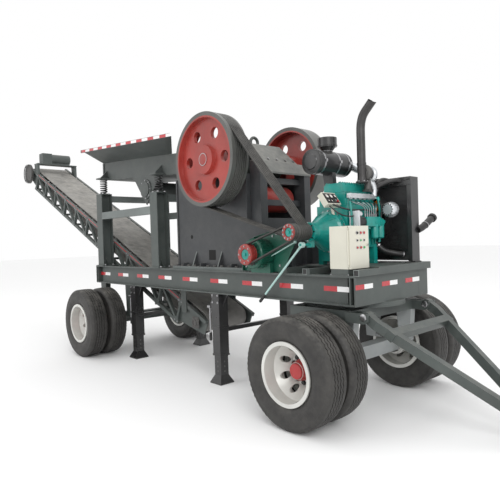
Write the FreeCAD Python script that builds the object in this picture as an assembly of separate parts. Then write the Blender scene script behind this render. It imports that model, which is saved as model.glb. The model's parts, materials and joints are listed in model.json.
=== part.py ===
"""Jaw crushing plant on a wheeled chassis, built as an assembly of separate pieces.

A vibrating feeder with a flared hopper feeds a jaw crusher.  A diesel engine drives the
crusher's flywheel and a small generator by belts, and a discharge conveyor rises over the
rear.  The chassis stands on a steered front dolly, a rear axle and four winding legs.

Units are millimetres, +Z is up, +X points to the drawbar and -Y is the engine clutch side.
The named values are written with x = 0 at the dolly's king pin.  The finished pieces are
moved so that the origin lies on the ground under the middle of the whole plant.
"""
import FreeCAD
import Part
import math
import os

V = FreeCAD.Vector
X_AXIS = V(1, 0, 0)
Y_AXIS = V(0, 1, 0)
Z_AXIS = V(0, 0, 1)
NEAR = -1
FAR = 1

# ---- chassis -----------------------------------------------------------------------------
BEAM_HALF_WIDTH = 664.0      # outer faces of the two side beams
BEAM_BOTTOM = 1106.0
BEAM_TOP = 1390.0
BEAM_FLANGE = 124.0
BEAM_FLANGE_T = 16.0
BEAM_WEB_T = 14.0
FRONT_END = 405.0
REAR_END = -4949.0
CROSS_MEMBER_X = (-330.0, 180.0, -1250.0, -2660.0)
CROSS_MEMBER_W = 100.0
CROSS_MEMBER_DEPTH = 180.0
AXLE_MEMBER_DEPTH = 120.0

# ---- wheels ------------------------------------------------------------------------------
TYRE_D = 1050.0
TYRE_W = 280.0
DUAL_PITCH = 320.0
OUTER_TYRE_Y = 1090.0
RIM_FLANGE_D = 600.0
RIM_WALL = 14.0
RIM_DISC_T = 16.0
RIM_DISH = 120.0
HAND_HOLE_D = 70.0
HAND_HOLE_COUNT = 8
HAND_HOLE_PCD = 400.0
HUB_D = 270.0
HUB_BORE_CLEARANCE = 0.05
BEAD_GAP = 0.3
RIM_SEAT_GAP = 0.3           # between a rim well and its disc
SPINDLE_D = 110.0
HUB_CAP_D = 190.0
HUB_CAP_OUT = 120.0
REAR_AXLE_X = -4472.0
AXLE_TUBE = 140.0
AXLE_HALF = 612.0
REAR_SPRING_REACH = 430.0
FRONT_SPRING_REACH = 215.0
SPRING_Y = 520.0             # leaf springs, from the centre line

# ---- front dolly and drawbar ---------------------------------------------------------------
DOLLY_FRONT = 310.0
DOLLY_REAR = -480.0
DOLLY_HALF_WIDTH = 600.0
DOLLY_TOP = 1055.0
DOLLY_DEPTH = 105.0
DOLLY_RAIL_W = 70.0
TURNTABLE_D = 900.0
TURNTABLE_W = 90.0
TURNTABLE_GAP = 0.5
KING_PIN_D = 90.0
KING_PIN_CLEARANCE = 0.05
DRAWBAR_HINGE_X = 460.0
DRAWBAR_HINGE_Z = 1012.0
DRAWBAR_HINGE_Y = 560.0
DRAWBAR_LUG_T = 22.0
DRAWBAR_PIN_D = 50.0
DRAWBAR_REACH = 1770.0       # hinge to the tip of the tow eye
DRAWBAR_SECTION = 80.0
DRAWBAR_NOSE_Y = 24.0        # middle of each arm where the two run into each other
DRAWBAR_DEPTH = 86.0
DRAWBAR_KNUCKLE_D = 100.0
DRAWBAR_CROSSBAR = 230.0     # distance of the cross bar from the hinge
TOW_EYE_D = 170.0
TOW_EYE_HOLE_D = 80.0
TOW_EYE_T = 46.0

# ---- winding legs ---------------------------------------------------------------------------
LEG_X = (-1675.0, -3705.0)
LEG_Y = 599.0
LEG_OUTER = 140.0
LEG_WALL = 10.0
LEG_SLIDE_GAP = 0.4
LEG_TRAVEL = 235.0
LEG_TOP_ROOM = 55.0          # left above the inner tube when it is wound right up
LEG_CAP_T = 16.0
LEG_OUTER_BOTTOM = 345.0
LEG_FOOT = 210.0
LEG_FOOT_FLARE = 90.0
LEG_FOOT_T = 12.0
CRANK_Z = 925.0
CRANK_SHAFT_D = 26.0
CRANK_REACH = 130.0
CRANK_ROD = 430.0
CRANK_ROD_D = 22.0
CRANK_STUB_OUT = 20.0
BRACE_Z = 650.0

# ---- feeder stand ---------------------------------------------------------------------------
POST_SIZE = 190.0
POST_FLANGE_T = 14.0
REAR_POST_X = -4755.0
FRONT_POST_X = -3040.0
REAR_POST_TOP = 2600.0
FRONT_POST_TOP = 2480.0
STAND_RAIL_LOW = 2170.0
STAND_RAIL_HIGH = 2285.0
STAND_RAIL_T = 60.0

# ---- feeder and hopper ------------------------------------------------------------------------
TROUGH_HALF_WIDTH = 500.0
TROUGH_REAR = -4890.0
TROUGH_FRONT = -2560.0
TROUGH_FLOOR_REAR_Z = 2860.0
TROUGH_FALL = 4.0            # degrees, falling towards the crusher
TROUGH_DEPTH = 290.0
TROUGH_PLATE = 16.0
HOPPER_RIM_Y = 895.0
HOPPER_RIM_RISE = 185.0      # rim above the trough's top edge
HOPPER_FRONT = -2215.0
HOPPER_PLATE = 12.0
HOPPER_RIM_LIP = 46.0
SPRING_D = 130.0
SPRING_BRACKET_T = 20.0
EXCITER_FRONT = -3120.0
EXCITER_REAR = -3880.0
EXCITER_DROP = 430.0
EXCITER_DRUM_D = 230.0
EXCITER_DRUM_DROP = 193.5
EXCITER_PLATE = 14.0
EXCITER_INSET = 3.0          # side plates, inside the trough's outer faces
EXCITER_SEAT_GAP = 0.2       # under the trough's floor

# ---- crusher ----------------------------------------------------------------------------------
CRUSHER_HALF_WIDTH = 500.0
CRUSHER_WALL = 60.0
CRUSHER_FRONT = -2680.0
CRUSHER_BASE_Z = BEAM_TOP + 40.0
CRUSHER_FRONT_TOP = 2620.0
CRUSHER_TAIL_X = -530.0
CRUSHER_TAIL_Z = 1780.0
CRUSHER_SHOULDER_X = -1250.0
CRUSHER_SHOULDER_Z = 1965.0
CRUSHER_SEAT_Z = 2545.0
REAR_POST_FRONT_X = -1220.0
REAR_POST_BACK_X = -1045.0
REAR_POST_HEIGHT = 2690.0
FRONT_WALL_T = 90.0
FIXED_JAW_T = 70.0
JAW_HALF_WIDTH = 320.0
JAW_TOP_Z = 2600.0
JAW_BOTTOM_Z = 1700.0
JAW_GAPE = 400.0
JAW_SETTING = 70.0
JAW_TOOTH = 22.0
JAW_TEETH = 10
CHEEK_T = 60.0
SHAFT_X = -1600.0
SHAFT_Z = 2730.0
SHAFT_D = 150.0
PITMAN_HEAD_D = 420.0
PITMAN_BORE_CLEARANCE = 0.05
BEARING_D = 360.0
BEARING_INNER_Y = 350.0
BEARING_OUTER_Y = 585.0
CRUSHER_RIB_X = (-2250.0, -1720.0, -1130.0)
CRUSHER_FLANGE = 100.0
TOGGLE_Z = 1900.0
PITMAN_EYE_Z = 2960.0
COVER_TOP_OUT = 130.0
COVER_TOP_Z = 2960.0

# ---- flywheels ----------------------------------------------------------------------------------
FLYWHEEL_D = 1120.0
FLYWHEEL_INNER_Y = 615.0
FLYWHEEL_OUTER_Y = 855.0
FLYWHEEL_RIM_T = 66.0
FLYWHEEL_WEB_T = 46.0
FLYWHEEL_WEB_RECESS = 62.0
FLYWHEEL_BOSS_D = 340.0
FLYWHEEL_HOLE_D = 135.0
FLYWHEEL_HOLE_PCD = 680.0
FLYWHEEL_HOLES = 6

# ---- belts and pulleys ----------------------------------------------------------------------------
BELT_W = 20.0
BELT_T = 14.0
BELT_PITCH = 27.0
BELT_SIDE_GAP = 1.0
BELT_SEAT_GAP = 0.3
MAIN_BELTS = 6
MAIN_BELT_Y = -725.0
GEN_BELTS = 2
GEN_BELT_Y = -855.0
PTO_X = -200.0
PTO_Z = 1820.0
PTO_D = 172.0
PTO_OUTER_Y = -885.0
PTO_INNER_Y = -630.0
PTO_SHAFT_D = 70.0
GEN_X = -845.0
GEN_Z = 1600.0
GEN_PULLEY_D = 230.0
GEN_PULLEY_W = 66.0
GEN_SHAFT_D = 45.0
GUARD_Y = -610.0
GUARD_LOW_Z = 1402.0
GUARD_T = 6.0

# ---- engine and its neighbours ----------------------------------------------------------------------
BASE_TUBE = 60.0
BASE_FRONT = 450.0
BASE_REAR = -520.0
BASE_PLATE_T = 12.0
ENGINE_X = -175.0
ENGINE_HALF_WIDTH = 230.0
ENGINE_REAR_Y = -240.0
ENGINE_FRONT_Y = 290.0
ENGINE_PAN_Z = 1500.0
ENGINE_HEAD_Z = 2090.0
ENGINE_TOP_Z = 2230.0
VALVE_COVER_TOP = 2310.0
BELL_D = 420.0
BELL_NECK_D = 190.0
BELL_NECK_Y = -520.0
PTO_HOUSING_Y = -610.0
RADIATOR_Y = 430.0
RADIATOR_T = 150.0
RADIATOR_LEFT_X = -400.0
RADIATOR_RIGHT_X = 370.0
RADIATOR_TOP = 2385.0
RADIATOR_POST = 50.0
FAN_D = 520.0
FAN_Z = 1960.0
FAN_Y = 345.0
FAN_BLADES = 7
FAN_SHAFT_D = 40.0
TURBO_X = 20.0
TURBO_Y = 150.0
TURBO_Z = 2430.0
PANEL_X = -90.0
PANEL_Y = -380.0
PANEL_Z = 2140.0
LEVER_X = -200.0
LEVER_Y = -700.0
LEVER_Z = 1690.0
LEVER_ANGLE = 44.0           # below level, towards the rear
LEVER_LENGTH = 890.0
LEVER_D = 24.0
LEVER_PIN_D = 24.0
FILTER_X = -330.0
FILTER_Z = 2570.0
FILTER_D = 265.0
FILTER_REAR_Y = -360.0
FILTER_FRONT_Y = 190.0
PRECLEANER_D = 210.0
PRECLEANER_TOP = 2850.0
EXHAUST_X = 10.0
EXHAUST_Y = 60.0
EXHAUST_D = 92.0
EXHAUST_WALL = 5.0
EXHAUST_BEND_Z = 3020.0
EXHAUST_TIP_Z = 3215.0
EXHAUST_LEAN = 170.0
BOX_X = 120.0
BOX_DEPTH = 210.0
BOX_NEAR_Y = -660.0
BOX_WIDTH = 310.0
BOX_Z = 1455.0
BOX_HEIGHT = 405.0
BOX_WALL = 4.0
BOX_DOOR_T = 18.0
BOX_DOOR_GAP = 2.0
BOX_HINGE_D = 12.0
GEN_BODY_D = 320.0
GEN_BODY_REAR_Y = -785.0
GEN_BODY_FRONT_Y = -505.0

# ---- conveyor -----------------------------------------------------------------------------------------
CONVEYOR_SLOPE = 23.9        # degrees
CONVEYOR_REF_X = -5707.0     # belt's top surface passes through this point
CONVEYOR_REF_Z = 2270.0
CONVEYOR_TAIL_X = -2400.0
CONVEYOR_HEAD_X = -8620.0
CONVEYOR_DRUM_D = 260.0
CONVEYOR_BELT_HALF = 350.0
CONVEYOR_BELT_T = 12.0
CONVEYOR_SIDE_Y = 395.0
CONVEYOR_CHORD = 50.0
CONVEYOR_DEPTH = 360.0
CONVEYOR_PANELS = 11
CONVEYOR_SHAFT_D = 60.0
CONVEYOR_ROLLERS = 9
ROLLER_D = 76.0
DRUM_GAP = 0.3
CHORD_DROP = 40.0            # upper chord's middle line under the belt's top
TAIL_OVERHANG = 190.0
HEAD_OVERHANG = 190.0
TRUSS_START = 430.0
TRUSS_END = 420.0
HEAD_WHEEL_D = 430.0
MOTOR_D = 220.0

turntable_t = (BEAM_BOTTOM - DOLLY_TOP - TURNTABLE_GAP) / 2
fall = math.radians(TROUGH_FALL)
slope = math.radians(CONVEYOR_SLOPE)


# ---- helpers --------------------------------------------------------------------------------------------
def box(x0, x1, y0, y1, z0, z1):
    """A block between two corners, given in any order."""
    low = V(min(x0, x1), min(y0, y1), min(z0, z1))
    return Part.makeBox(abs(x1 - x0), abs(y1 - y0), abs(z1 - z0), low)


def rod(start, end, diameter):
    """A round bar from one point to another."""
    start = V(*start)
    run = V(*end) - start
    return Part.makeCylinder(diameter / 2, run.Length, start, run)


def tube(start, end, outer, inner):
    """A round pipe from one point to another."""
    return rod(start, end, outer).cut(rod(start, end, inner))


def plate_xz(points, y0, y1):
    """A plate whose outline is given in the X-Z plane, between two Y values."""
    corners = [V(x, min(y0, y1), z) for x, z in points]
    face = Part.Face(Part.makePolygon(corners + corners[:1]))
    return face.extrude(V(0, abs(y1 - y0), 0))


def plate_yz(points, x0, x1):
    """A plate whose outline is given in the Y-Z plane, between two X values."""
    corners = [V(min(x0, x1), y, z) for y, z in points]
    face = Part.Face(Part.makePolygon(corners + corners[:1]))
    return face.extrude(V(abs(x1 - x0), 0, 0))


def plate_xy(points, z0, z1):
    """A plate whose outline is given in the X-Y plane, between two Z values."""
    corners = [V(x, y, z0) for x, y in points]
    face = Part.Face(Part.makePolygon(corners + corners[:1]))
    return face.extrude(V(0, 0, z1 - z0))


def turned_y(profile, x, z):
    """A body turned about an axis along Y.  The profile holds (radius, y) points."""
    corners = [V(x + r, y, z) for r, y in profile]
    face = Part.Face(Part.makePolygon(corners + corners[:1]))
    return face.revolve(V(x, 0, z), Y_AXIS, 360)


def fuse(pieces):
    """Pieces joined into one."""
    joined = pieces[0]
    if len(pieces) > 1:
        joined = joined.multiFuse(pieces[1:]).removeSplitter()
    return joined


def mirrored(shape):
    """The same piece on the other side of the machine."""
    return shape.mirror(V(0, 0, 0), Y_AXIS)


def i_beam_x(x0, x1, y_mid, z0, z1):
    """An I-section beam along X."""
    half = BEAM_FLANGE / 2
    low = box(x0, x1, y_mid - half, y_mid + half, z0, z0 + BEAM_FLANGE_T)
    high = box(x0, x1, y_mid - half, y_mid + half, z1 - BEAM_FLANGE_T, z1)
    web = box(x0, x1, y_mid - BEAM_WEB_T / 2, y_mid + BEAM_WEB_T / 2, z0, z1)
    return fuse([low, high, web])


def i_beam_y(x_mid, width, y0, y1, z0, z1):
    """An I-section beam along Y."""
    half = width / 2
    low = box(x_mid - half, x_mid + half, y0, y1, z0, z0 + BEAM_FLANGE_T)
    high = box(x_mid - half, x_mid + half, y0, y1, z1 - BEAM_FLANGE_T, z1)
    web = box(x_mid - BEAM_WEB_T / 2, x_mid + BEAM_WEB_T / 2, y0, y1, z0, z1)
    return fuse([low, high, web])


nodes = {}


def keep(name, pieces):
    """Files a node's solids under its name."""
    solids = []
    for piece in pieces:
        solids.extend(piece.Solids)
    nodes[name] = Part.makeCompound(solids)


# ---- chassis ------------------------------------------------------------------------------------------------
beam_mid_y = BEAM_HALF_WIDTH - BEAM_FLANGE / 2
beam_inner_y = BEAM_HALF_WIDTH - BEAM_FLANGE
front_beam_x = FRONT_END - BEAM_FLANGE / 2
rear_beam_x = REAR_END + BEAM_FLANGE / 2


def side_beam(side):
    return i_beam_x(REAR_END + BEAM_FLANGE, FRONT_END - BEAM_FLANGE, side * beam_mid_y,
                    BEAM_BOTTOM, BEAM_TOP)


def end_beam(x_mid, outward):
    """An end beam whose outer face is closed by a plate, so that it reads as a box."""
    beam = i_beam_y(x_mid, BEAM_FLANGE, -BEAM_HALF_WIDTH, BEAM_HALF_WIDTH, BEAM_BOTTOM, BEAM_TOP)
    face_x = x_mid + outward * BEAM_FLANGE / 2
    face = box(face_x, face_x - outward * BEAM_WEB_T, -BEAM_HALF_WIDTH, BEAM_HALF_WIDTH,
               BEAM_BOTTOM, BEAM_TOP)
    return fuse([beam, face])


def cross_member(x_mid, depth):
    """A cross member that runs up to the side beams' inner flange edges."""
    return i_beam_y(x_mid, CROSS_MEMBER_W, -beam_inner_y, beam_inner_y, BEAM_BOTTOM,
                    BEAM_BOTTOM + depth)


def turntable_ring(low, high):
    outer = rod((0, 0, low), (0, 0, high), TURNTABLE_D)
    return outer.cut(rod((0, 0, low), (0, 0, high), TURNTABLE_D - 2 * TURNTABLE_W))


def chassis_parts():
    keep("side_beams", [side_beam(NEAR), side_beam(FAR)])
    members = [end_beam(front_beam_x, 1), end_beam(rear_beam_x, -1)]
    members += [cross_member(x, CROSS_MEMBER_DEPTH) for x in CROSS_MEMBER_X]
    members.append(cross_member(REAR_AXLE_X, AXLE_MEMBER_DEPTH))
    keep("cross_members", members)
    ring_low = DOLLY_TOP + turntable_t + TURNTABLE_GAP
    ring = turntable_ring(ring_low, BEAM_BOTTOM)
    bridge = box(-CROSS_MEMBER_W, CROSS_MEMBER_W, -KING_PIN_D, KING_PIN_D, ring_low, BEAM_BOTTOM)
    arm = box(-TURNTABLE_D / 2 + TURNTABLE_W / 2, TURNTABLE_D / 2 - TURNTABLE_W / 2,
              -KING_PIN_D, KING_PIN_D, ring_low, BEAM_BOTTOM)
    socket = rod((0, 0, ring_low), (0, 0, BEAM_BOTTOM), KING_PIN_D + 2 * KING_PIN_CLEARANCE)
    keep("turntable", [fuse([ring, arm, bridge]).cut(socket)])


# ---- wheels ---------------------------------------------------------------------------------------------------
tyre_r = TYRE_D / 2
rim_r = RIM_FLANGE_D / 2
bead_r = rim_r - 22.0
dual_mid_y = OUTER_TYRE_Y - DUAL_PITCH / 2
inner_tyre_y = OUTER_TYRE_Y - DUAL_PITCH


def tyre(x, y_mid):
    """A tyre with a flat tread, round shoulders and a hollow inside."""
    half = TYRE_W / 2
    side_r = (tyre_r + rim_r) / 2
    seat = bead_r + BEAD_GAP
    outside = [(seat, half - 45.0), (rim_r + 8.0, half - 36.0), (side_r, half),
               (tyre_r - 34.0, half - 8.0), (tyre_r - 5.0, half - 26.0), (tyre_r, half - 48.0)]
    inside = [(seat, half - 72.0), (side_r, half - 26.0), (tyre_r - 45.0, half - 48.0)]
    profile = [(r, y_mid + y) for r, y in outside]
    profile += [(r, y_mid - y) for r, y in reversed(outside)]
    profile += [(r, y_mid - y) for r, y in inside]
    profile += [(r, y_mid + y) for r, y in reversed(inside)]
    return turned_y(profile, x, tyre_r)


def rim_barrel(x, y_mid):
    """A rim well with a flange at each edge of the tyre's beads."""
    edge = TYRE_W / 2 - 30.0
    lip = 16.0
    well = bead_r - RIM_WALL
    profile = [(rim_r, y_mid - edge - lip), (rim_r, y_mid - edge), (bead_r, y_mid - edge),
               (bead_r, y_mid + edge), (rim_r, y_mid + edge), (rim_r, y_mid + edge + lip),
               (well, y_mid + edge + lip), (well, y_mid - edge - lip)]
    return turned_y(profile, x, tyre_r)


def rim_disc(x, toward_outside):
    """The dished disc between a rim well and the bolting face at the middle of the pair."""
    well = bead_r - RIM_WALL - RIM_SEAT_GAP
    face_r = HAND_HOLE_PCD / 2 - HAND_HOLE_D / 2 - 10.0
    reach = DUAL_PITCH / 2 - 20.0
    bore = HUB_D / 2 - 10.0
    profile = [(bore, 0.0), (face_r, 0.0), (well, reach - RIM_DISC_T), (well, reach + RIM_DISC_T),
               (face_r, RIM_DISC_T), (bore, RIM_DISC_T)]
    return turned_y([(r, dual_mid_y + toward_outside * y) for r, y in profile], x, tyre_r)


def wheel_hub(x):
    """The hub drum between the axle's end and the cap, bored for the spindle."""
    nose_y = dual_mid_y + HUB_CAP_OUT
    profile = [(0.0, AXLE_HALF + 18.0), (HUB_D / 2, AXLE_HALF + 18.0),
               (HUB_D / 2, dual_mid_y + RIM_DISC_T), (HUB_CAP_D / 2, dual_mid_y + 2 * RIM_DISC_T),
               (HUB_CAP_D / 2 - 14.0, nose_y), (HUB_CAP_D / 2 - 34.0, nose_y + 14.0),
               (0.0, nose_y + 14.0)]
    drum = turned_y(profile, x, tyre_r)
    bore = SPINDLE_D + 2 * HUB_BORE_CLEARANCE
    return drum.cut(rod((x, AXLE_HALF, tyre_r), (x, spindle_end_y + 5.0, tyre_r), bore))


spindle_end_y = dual_mid_y + 60.0


def wheel_rims(x):
    """Both rim wells of a pair, and the two discs bolted to their hub."""
    centre = fuse([rim_disc(x, 1), rim_disc(x, -1), wheel_hub(x)])
    for index in range(HAND_HOLE_COUNT):
        angle = 2 * math.pi * (index + 0.5) / HAND_HOLE_COUNT
        hole_x = x + HAND_HOLE_PCD / 2 * math.cos(angle)
        hole_z = tyre_r + HAND_HOLE_PCD / 2 * math.sin(angle)
        centre = centre.cut(rod((hole_x, inner_tyre_y, hole_z), (hole_x, OUTER_TYRE_Y, hole_z),
                                HAND_HOLE_D))
    return Part.makeCompound([rim_barrel(x, OUTER_TYRE_Y), rim_barrel(x, inner_tyre_y), centre])


def axle(x):
    """A square axle tube with a round spindle at each end."""
    beam = box(x - AXLE_TUBE / 2, x + AXLE_TUBE / 2, -AXLE_HALF, AXLE_HALF,
               tyre_r - AXLE_TUBE / 2, tyre_r + AXLE_TUBE / 2)
    spindle = rod((x, -spindle_end_y, tyre_r), (x, spindle_end_y, tyre_r), SPINDLE_D)
    return fuse([beam, spindle])


def axle_hangers(x, top, y_mid, reach):
    """A hanger plate pair and a leaf-spring pack that carry one side of an axle."""
    half = 45.0
    pack_low = tyre_r + AXLE_TUBE / 2
    pack_high = pack_low + 60.0
    pack = box(x - reach, x + reach, y_mid - 35.0, y_mid + 35.0, pack_low, pack_high)
    pieces = [pack]
    for end in (-1, 1):
        foot = x + end * reach
        outline = [(foot - 60.0, pack_low), (foot + 60.0, pack_low), (foot + 90.0, top),
                   (foot - 90.0, top)]
        pieces.append(plate_xz(outline, y_mid - half, y_mid + half))
    return fuse(pieces)


def wheel_parts():
    for place, x in (("front", 0.0), ("rear", REAR_AXLE_X)):
        tyres = Part.makeCompound([tyre(x, OUTER_TYRE_Y), tyre(x, inner_tyre_y)])
        rims = wheel_rims(x)
        keep("tyres_" + place + "_far", [tyres])
        keep("tyres_" + place + "_near", [mirrored(tyres)])
        keep("rims_" + place + "_far", [rims])
        keep("rims_" + place + "_near", [mirrored(rims)])
    hangers = [axle_hangers(REAR_AXLE_X, BEAM_BOTTOM, y, REAR_SPRING_REACH)
               for y in (-SPRING_Y, SPRING_Y)]
    keep("rear_axle", [fuse([axle(REAR_AXLE_X)] + hangers)])


# ---- front dolly and drawbar ----------------------------------------------------------------------------------
def dolly_parts():
    low = DOLLY_TOP - DOLLY_DEPTH
    rail = DOLLY_RAIL_W
    rails = [box(DOLLY_REAR, DOLLY_FRONT, side * DOLLY_HALF_WIDTH,
                 side * (DOLLY_HALF_WIDTH - rail), low, DOLLY_TOP) for side in (NEAR, FAR)]
    bars = [box(x, x + rail, -DOLLY_HALF_WIDTH, DOLLY_HALF_WIDTH, low, DOLLY_TOP)
            for x in (DOLLY_REAR, DOLLY_FRONT - rail)]
    centre = box(DOLLY_REAR, DOLLY_FRONT, -110.0, 110.0, low, DOLLY_TOP)
    cross = box(-110.0, 110.0, -DOLLY_HALF_WIDTH, DOLLY_HALF_WIDTH, low, DOLLY_TOP)
    ring = turntable_ring(DOLLY_TOP, DOLLY_TOP + turntable_t)
    deck = box(-TURNTABLE_D / 2 + 20.0, TURNTABLE_D / 2 - 160.0, -TURNTABLE_D / 2 + 20.0,
               TURNTABLE_D / 2 - 20.0, DOLLY_TOP - 16.0, DOLLY_TOP)
    pin = rod((0, 0, DOLLY_TOP), (0, 0, BEAM_BOTTOM + 30.0), KING_PIN_D)
    lugs = []
    for side in (NEAR, FAR):
        for offset in (-1, 1):
            mid = side * DRAWBAR_HINGE_Y + offset * lug_offset
            outline = [(DOLLY_FRONT - 60.0, low), (DRAWBAR_HINGE_X, low),
                       (DRAWBAR_HINGE_X + 45.0, low + 25.0), (DRAWBAR_HINGE_X + 45.0, DOLLY_TOP - 10.0),
                       (DOLLY_FRONT - 60.0, DOLLY_TOP - 10.0)]
            lug = plate_xz(outline, mid - DRAWBAR_LUG_T / 2, mid + DRAWBAR_LUG_T / 2)
            lugs.append(lug)
        start = side * DRAWBAR_HINGE_Y - lug_offset - DRAWBAR_LUG_T
        end = side * DRAWBAR_HINGE_Y + lug_offset + DRAWBAR_LUG_T
        lugs.append(rod((DRAWBAR_HINGE_X, start, DRAWBAR_HINGE_Z),
                        (DRAWBAR_HINGE_X, end, DRAWBAR_HINGE_Z), DRAWBAR_PIN_D))
    keep("dolly_frame", [fuse(rails + bars + [centre, cross, ring, deck, pin] + lugs)])
    hangers = [axle_hangers(0.0, low, y, FRONT_SPRING_REACH) for y in (-SPRING_Y, SPRING_Y)]
    keep("front_axle", [fuse([axle(0.0)] + hangers)])


def drawbar_parts():
    """The A-shaped drawbar, made level and then swung down until the eye meets the ground."""
    x0 = DRAWBAR_HINGE_X
    z0 = DRAWBAR_HINGE_Z
    half = DRAWBAR_SECTION / 2
    eye_x = x0 + DRAWBAR_REACH - TOW_EYE_D / 2
    nose_x = eye_x - TOW_EYE_D / 2 - 20.0
    depth = DRAWBAR_DEPTH / 2
    pieces = []
    for side in (NEAR, FAR):
        y0 = side * DRAWBAR_HINGE_Y
        nose_y = side * DRAWBAR_NOSE_Y
        outline = [(x0 - 10.0, y0 - half), (x0 - 10.0, y0 + half), (x0 + 120.0, y0 + half),
                   (nose_x, nose_y + half), (nose_x, nose_y - half),
                   (x0 + 120.0, y0 - half)]
        pieces.append(plate_xy(outline, z0 - depth, z0 + depth))
        pieces.append(rod((x0, y0 - half, z0), (x0, y0 + half, z0), DRAWBAR_KNUCKLE_D))
    bar_x = x0 + DRAWBAR_CROSSBAR
    pieces.append(box(bar_x, bar_x + DRAWBAR_SECTION, -DRAWBAR_HINGE_Y, DRAWBAR_HINGE_Y,
                      z0 - depth, z0 + depth))
    pieces.append(box(nose_x - 40.0, eye_x - TOW_EYE_D / 4, -42.0, 42.0, z0 - TOW_EYE_T / 2,
                      z0 + TOW_EYE_T / 2))
    pieces.append(rod((eye_x, 0, z0 - TOW_EYE_T / 2), (eye_x, 0, z0 + TOW_EYE_T / 2), TOW_EYE_D))
    bar = fuse(pieces)
    bar = bar.cut(rod((eye_x, 0, z0 - TOW_EYE_T), (eye_x, 0, z0 + TOW_EYE_T), TOW_EYE_HOLE_D))
    for side in (NEAR, FAR):
        y0 = side * DRAWBAR_HINGE_Y
        bore = DRAWBAR_PIN_D + 2 * HUB_BORE_CLEARANCE
        bar = bar.cut(rod((x0, y0 - DRAWBAR_SECTION, z0), (x0, y0 + DRAWBAR_SECTION, z0), bore))
    bar.rotate(V(x0, 0, z0), Y_AXIS, math.degrees(drawbar_angle))
    keep("drawbar", [bar])


lug_offset = DRAWBAR_SECTION / 2 + 5.5 + DRAWBAR_LUG_T / 2
# The tow eye's lower edge meets the ground at this angle below level.
eye_arm = math.hypot(DRAWBAR_REACH, TOW_EYE_T / 2)
drawbar_angle = math.asin(DRAWBAR_HINGE_Z / eye_arm) - math.atan2(TOW_EYE_T / 2, DRAWBAR_REACH)


# ---- winding legs -----------------------------------------------------------------------------------------------
leg_inner_w = LEG_OUTER - 2 * LEG_WALL - 2 * LEG_SLIDE_GAP
leg_inner_top = BEAM_BOTTOM - LEG_CAP_T - LEG_TOP_ROOM - LEG_TRAVEL


def leg_outer(x, y):
    half = LEG_OUTER / 2
    bore = half - LEG_WALL
    body = box(x - half, x + half, y - half, y + half, LEG_OUTER_BOTTOM, BEAM_BOTTOM)
    return body.cut(box(x - bore, x + bore, y - bore, y + bore, LEG_OUTER_BOTTOM,
                        BEAM_BOTTOM - LEG_CAP_T))


def leg_gearbox(x, y):
    """The winding gearbox on the leg's rear face, with the stub that the crank fits."""
    half = LEG_OUTER / 2
    case = box(x - half - 46.0, x - half, y - 45.0, y + 45.0, CRANK_Z - 70.0, CRANK_Z + 70.0)
    stub = rod((x - half - 46.0, y, CRANK_Z), (crank_x(x) - CRANK_STUB_OUT, y, CRANK_Z), CRANK_SHAFT_D)
    return fuse([case, stub])


def crank_x(x):
    return x - LEG_OUTER / 2 - CRANK_REACH


def leg_inner(x, y):
    """The inner tube on its flared foot."""
    half = leg_inner_w / 2
    wide = LEG_FOOT / 2
    tube_body = box(x - half, x + half, y - half, y + half, LEG_FOOT_T, leg_inner_top)
    foot = box(x - wide, x + wide, y - wide, y + wide, 0, LEG_FOOT_T)
    low = Part.makePolygon([V(x - wide, y - wide, LEG_FOOT_T), V(x + wide, y - wide, LEG_FOOT_T),
                            V(x + wide, y + wide, LEG_FOOT_T), V(x - wide, y + wide, LEG_FOOT_T),
                            V(x - wide, y - wide, LEG_FOOT_T)])
    top_z = LEG_FOOT_T + LEG_FOOT_FLARE
    high = Part.makePolygon([V(x - half, y - half, top_z), V(x + half, y - half, top_z),
                             V(x + half, y + half, top_z), V(x - half, y + half, top_z),
                             V(x - half, y - half, top_z)])
    flare = Part.makeLoft([low, high], True, True)
    return fuse([foot, flare, tube_body])


def leg_brace(x):
    """The cross tube that ties the two outer tubes of a pair."""
    half = LEG_OUTER / 2
    return box(x - 25.0, x + 25.0, -LEG_Y + half, LEG_Y - half, BRACE_Z - 25.0, BRACE_Z + 25.0)


def crank(x, y):
    """A crank handle that hangs from its stub: a sleeve, a drop rod and a hand grip."""
    at = crank_x(x)
    bore = CRANK_SHAFT_D + 2 * HUB_BORE_CLEARANCE
    sleeve = rod((at - CRANK_STUB_OUT - 12.0, y, CRANK_Z), (at + 30.0, y, CRANK_Z), CRANK_SHAFT_D + 18.0)
    drop = rod((at, y, CRANK_Z), (at, y, CRANK_Z - CRANK_ROD), CRANK_ROD_D)
    grip = rod((at, y, CRANK_Z - CRANK_ROD), (at, y, CRANK_Z - CRANK_ROD + 110.0), CRANK_ROD_D + 8.0)
    hollow = rod((at - CRANK_STUB_OUT - 2.0, y, CRANK_Z), (at + 40.0, y, CRANK_Z), bore)
    return fuse([sleeve, drop, grip]).cut(hollow)


def leg_parts():
    pairs = []
    for name, x in (("front", LEG_X[0]), ("rear", LEG_X[1])):
        pairs.append(fuse([leg_outer(x, NEAR * LEG_Y), leg_outer(x, FAR * LEG_Y),
                           leg_gearbox(x, NEAR * LEG_Y), leg_brace(x)]))
        keep(name + "_leg_tubes", [leg_inner(x, NEAR * LEG_Y), leg_inner(x, FAR * LEG_Y)])
        keep(name + "_crank", [crank(x, NEAR * LEG_Y)])
    keep("leg_sleeves", pairs)


# ---- feeder stand -------------------------------------------------------------------------------------------------
post_outer_y = BEAM_HALF_WIDTH
post_inner_y = BEAM_HALF_WIDTH - POST_SIZE


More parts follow.
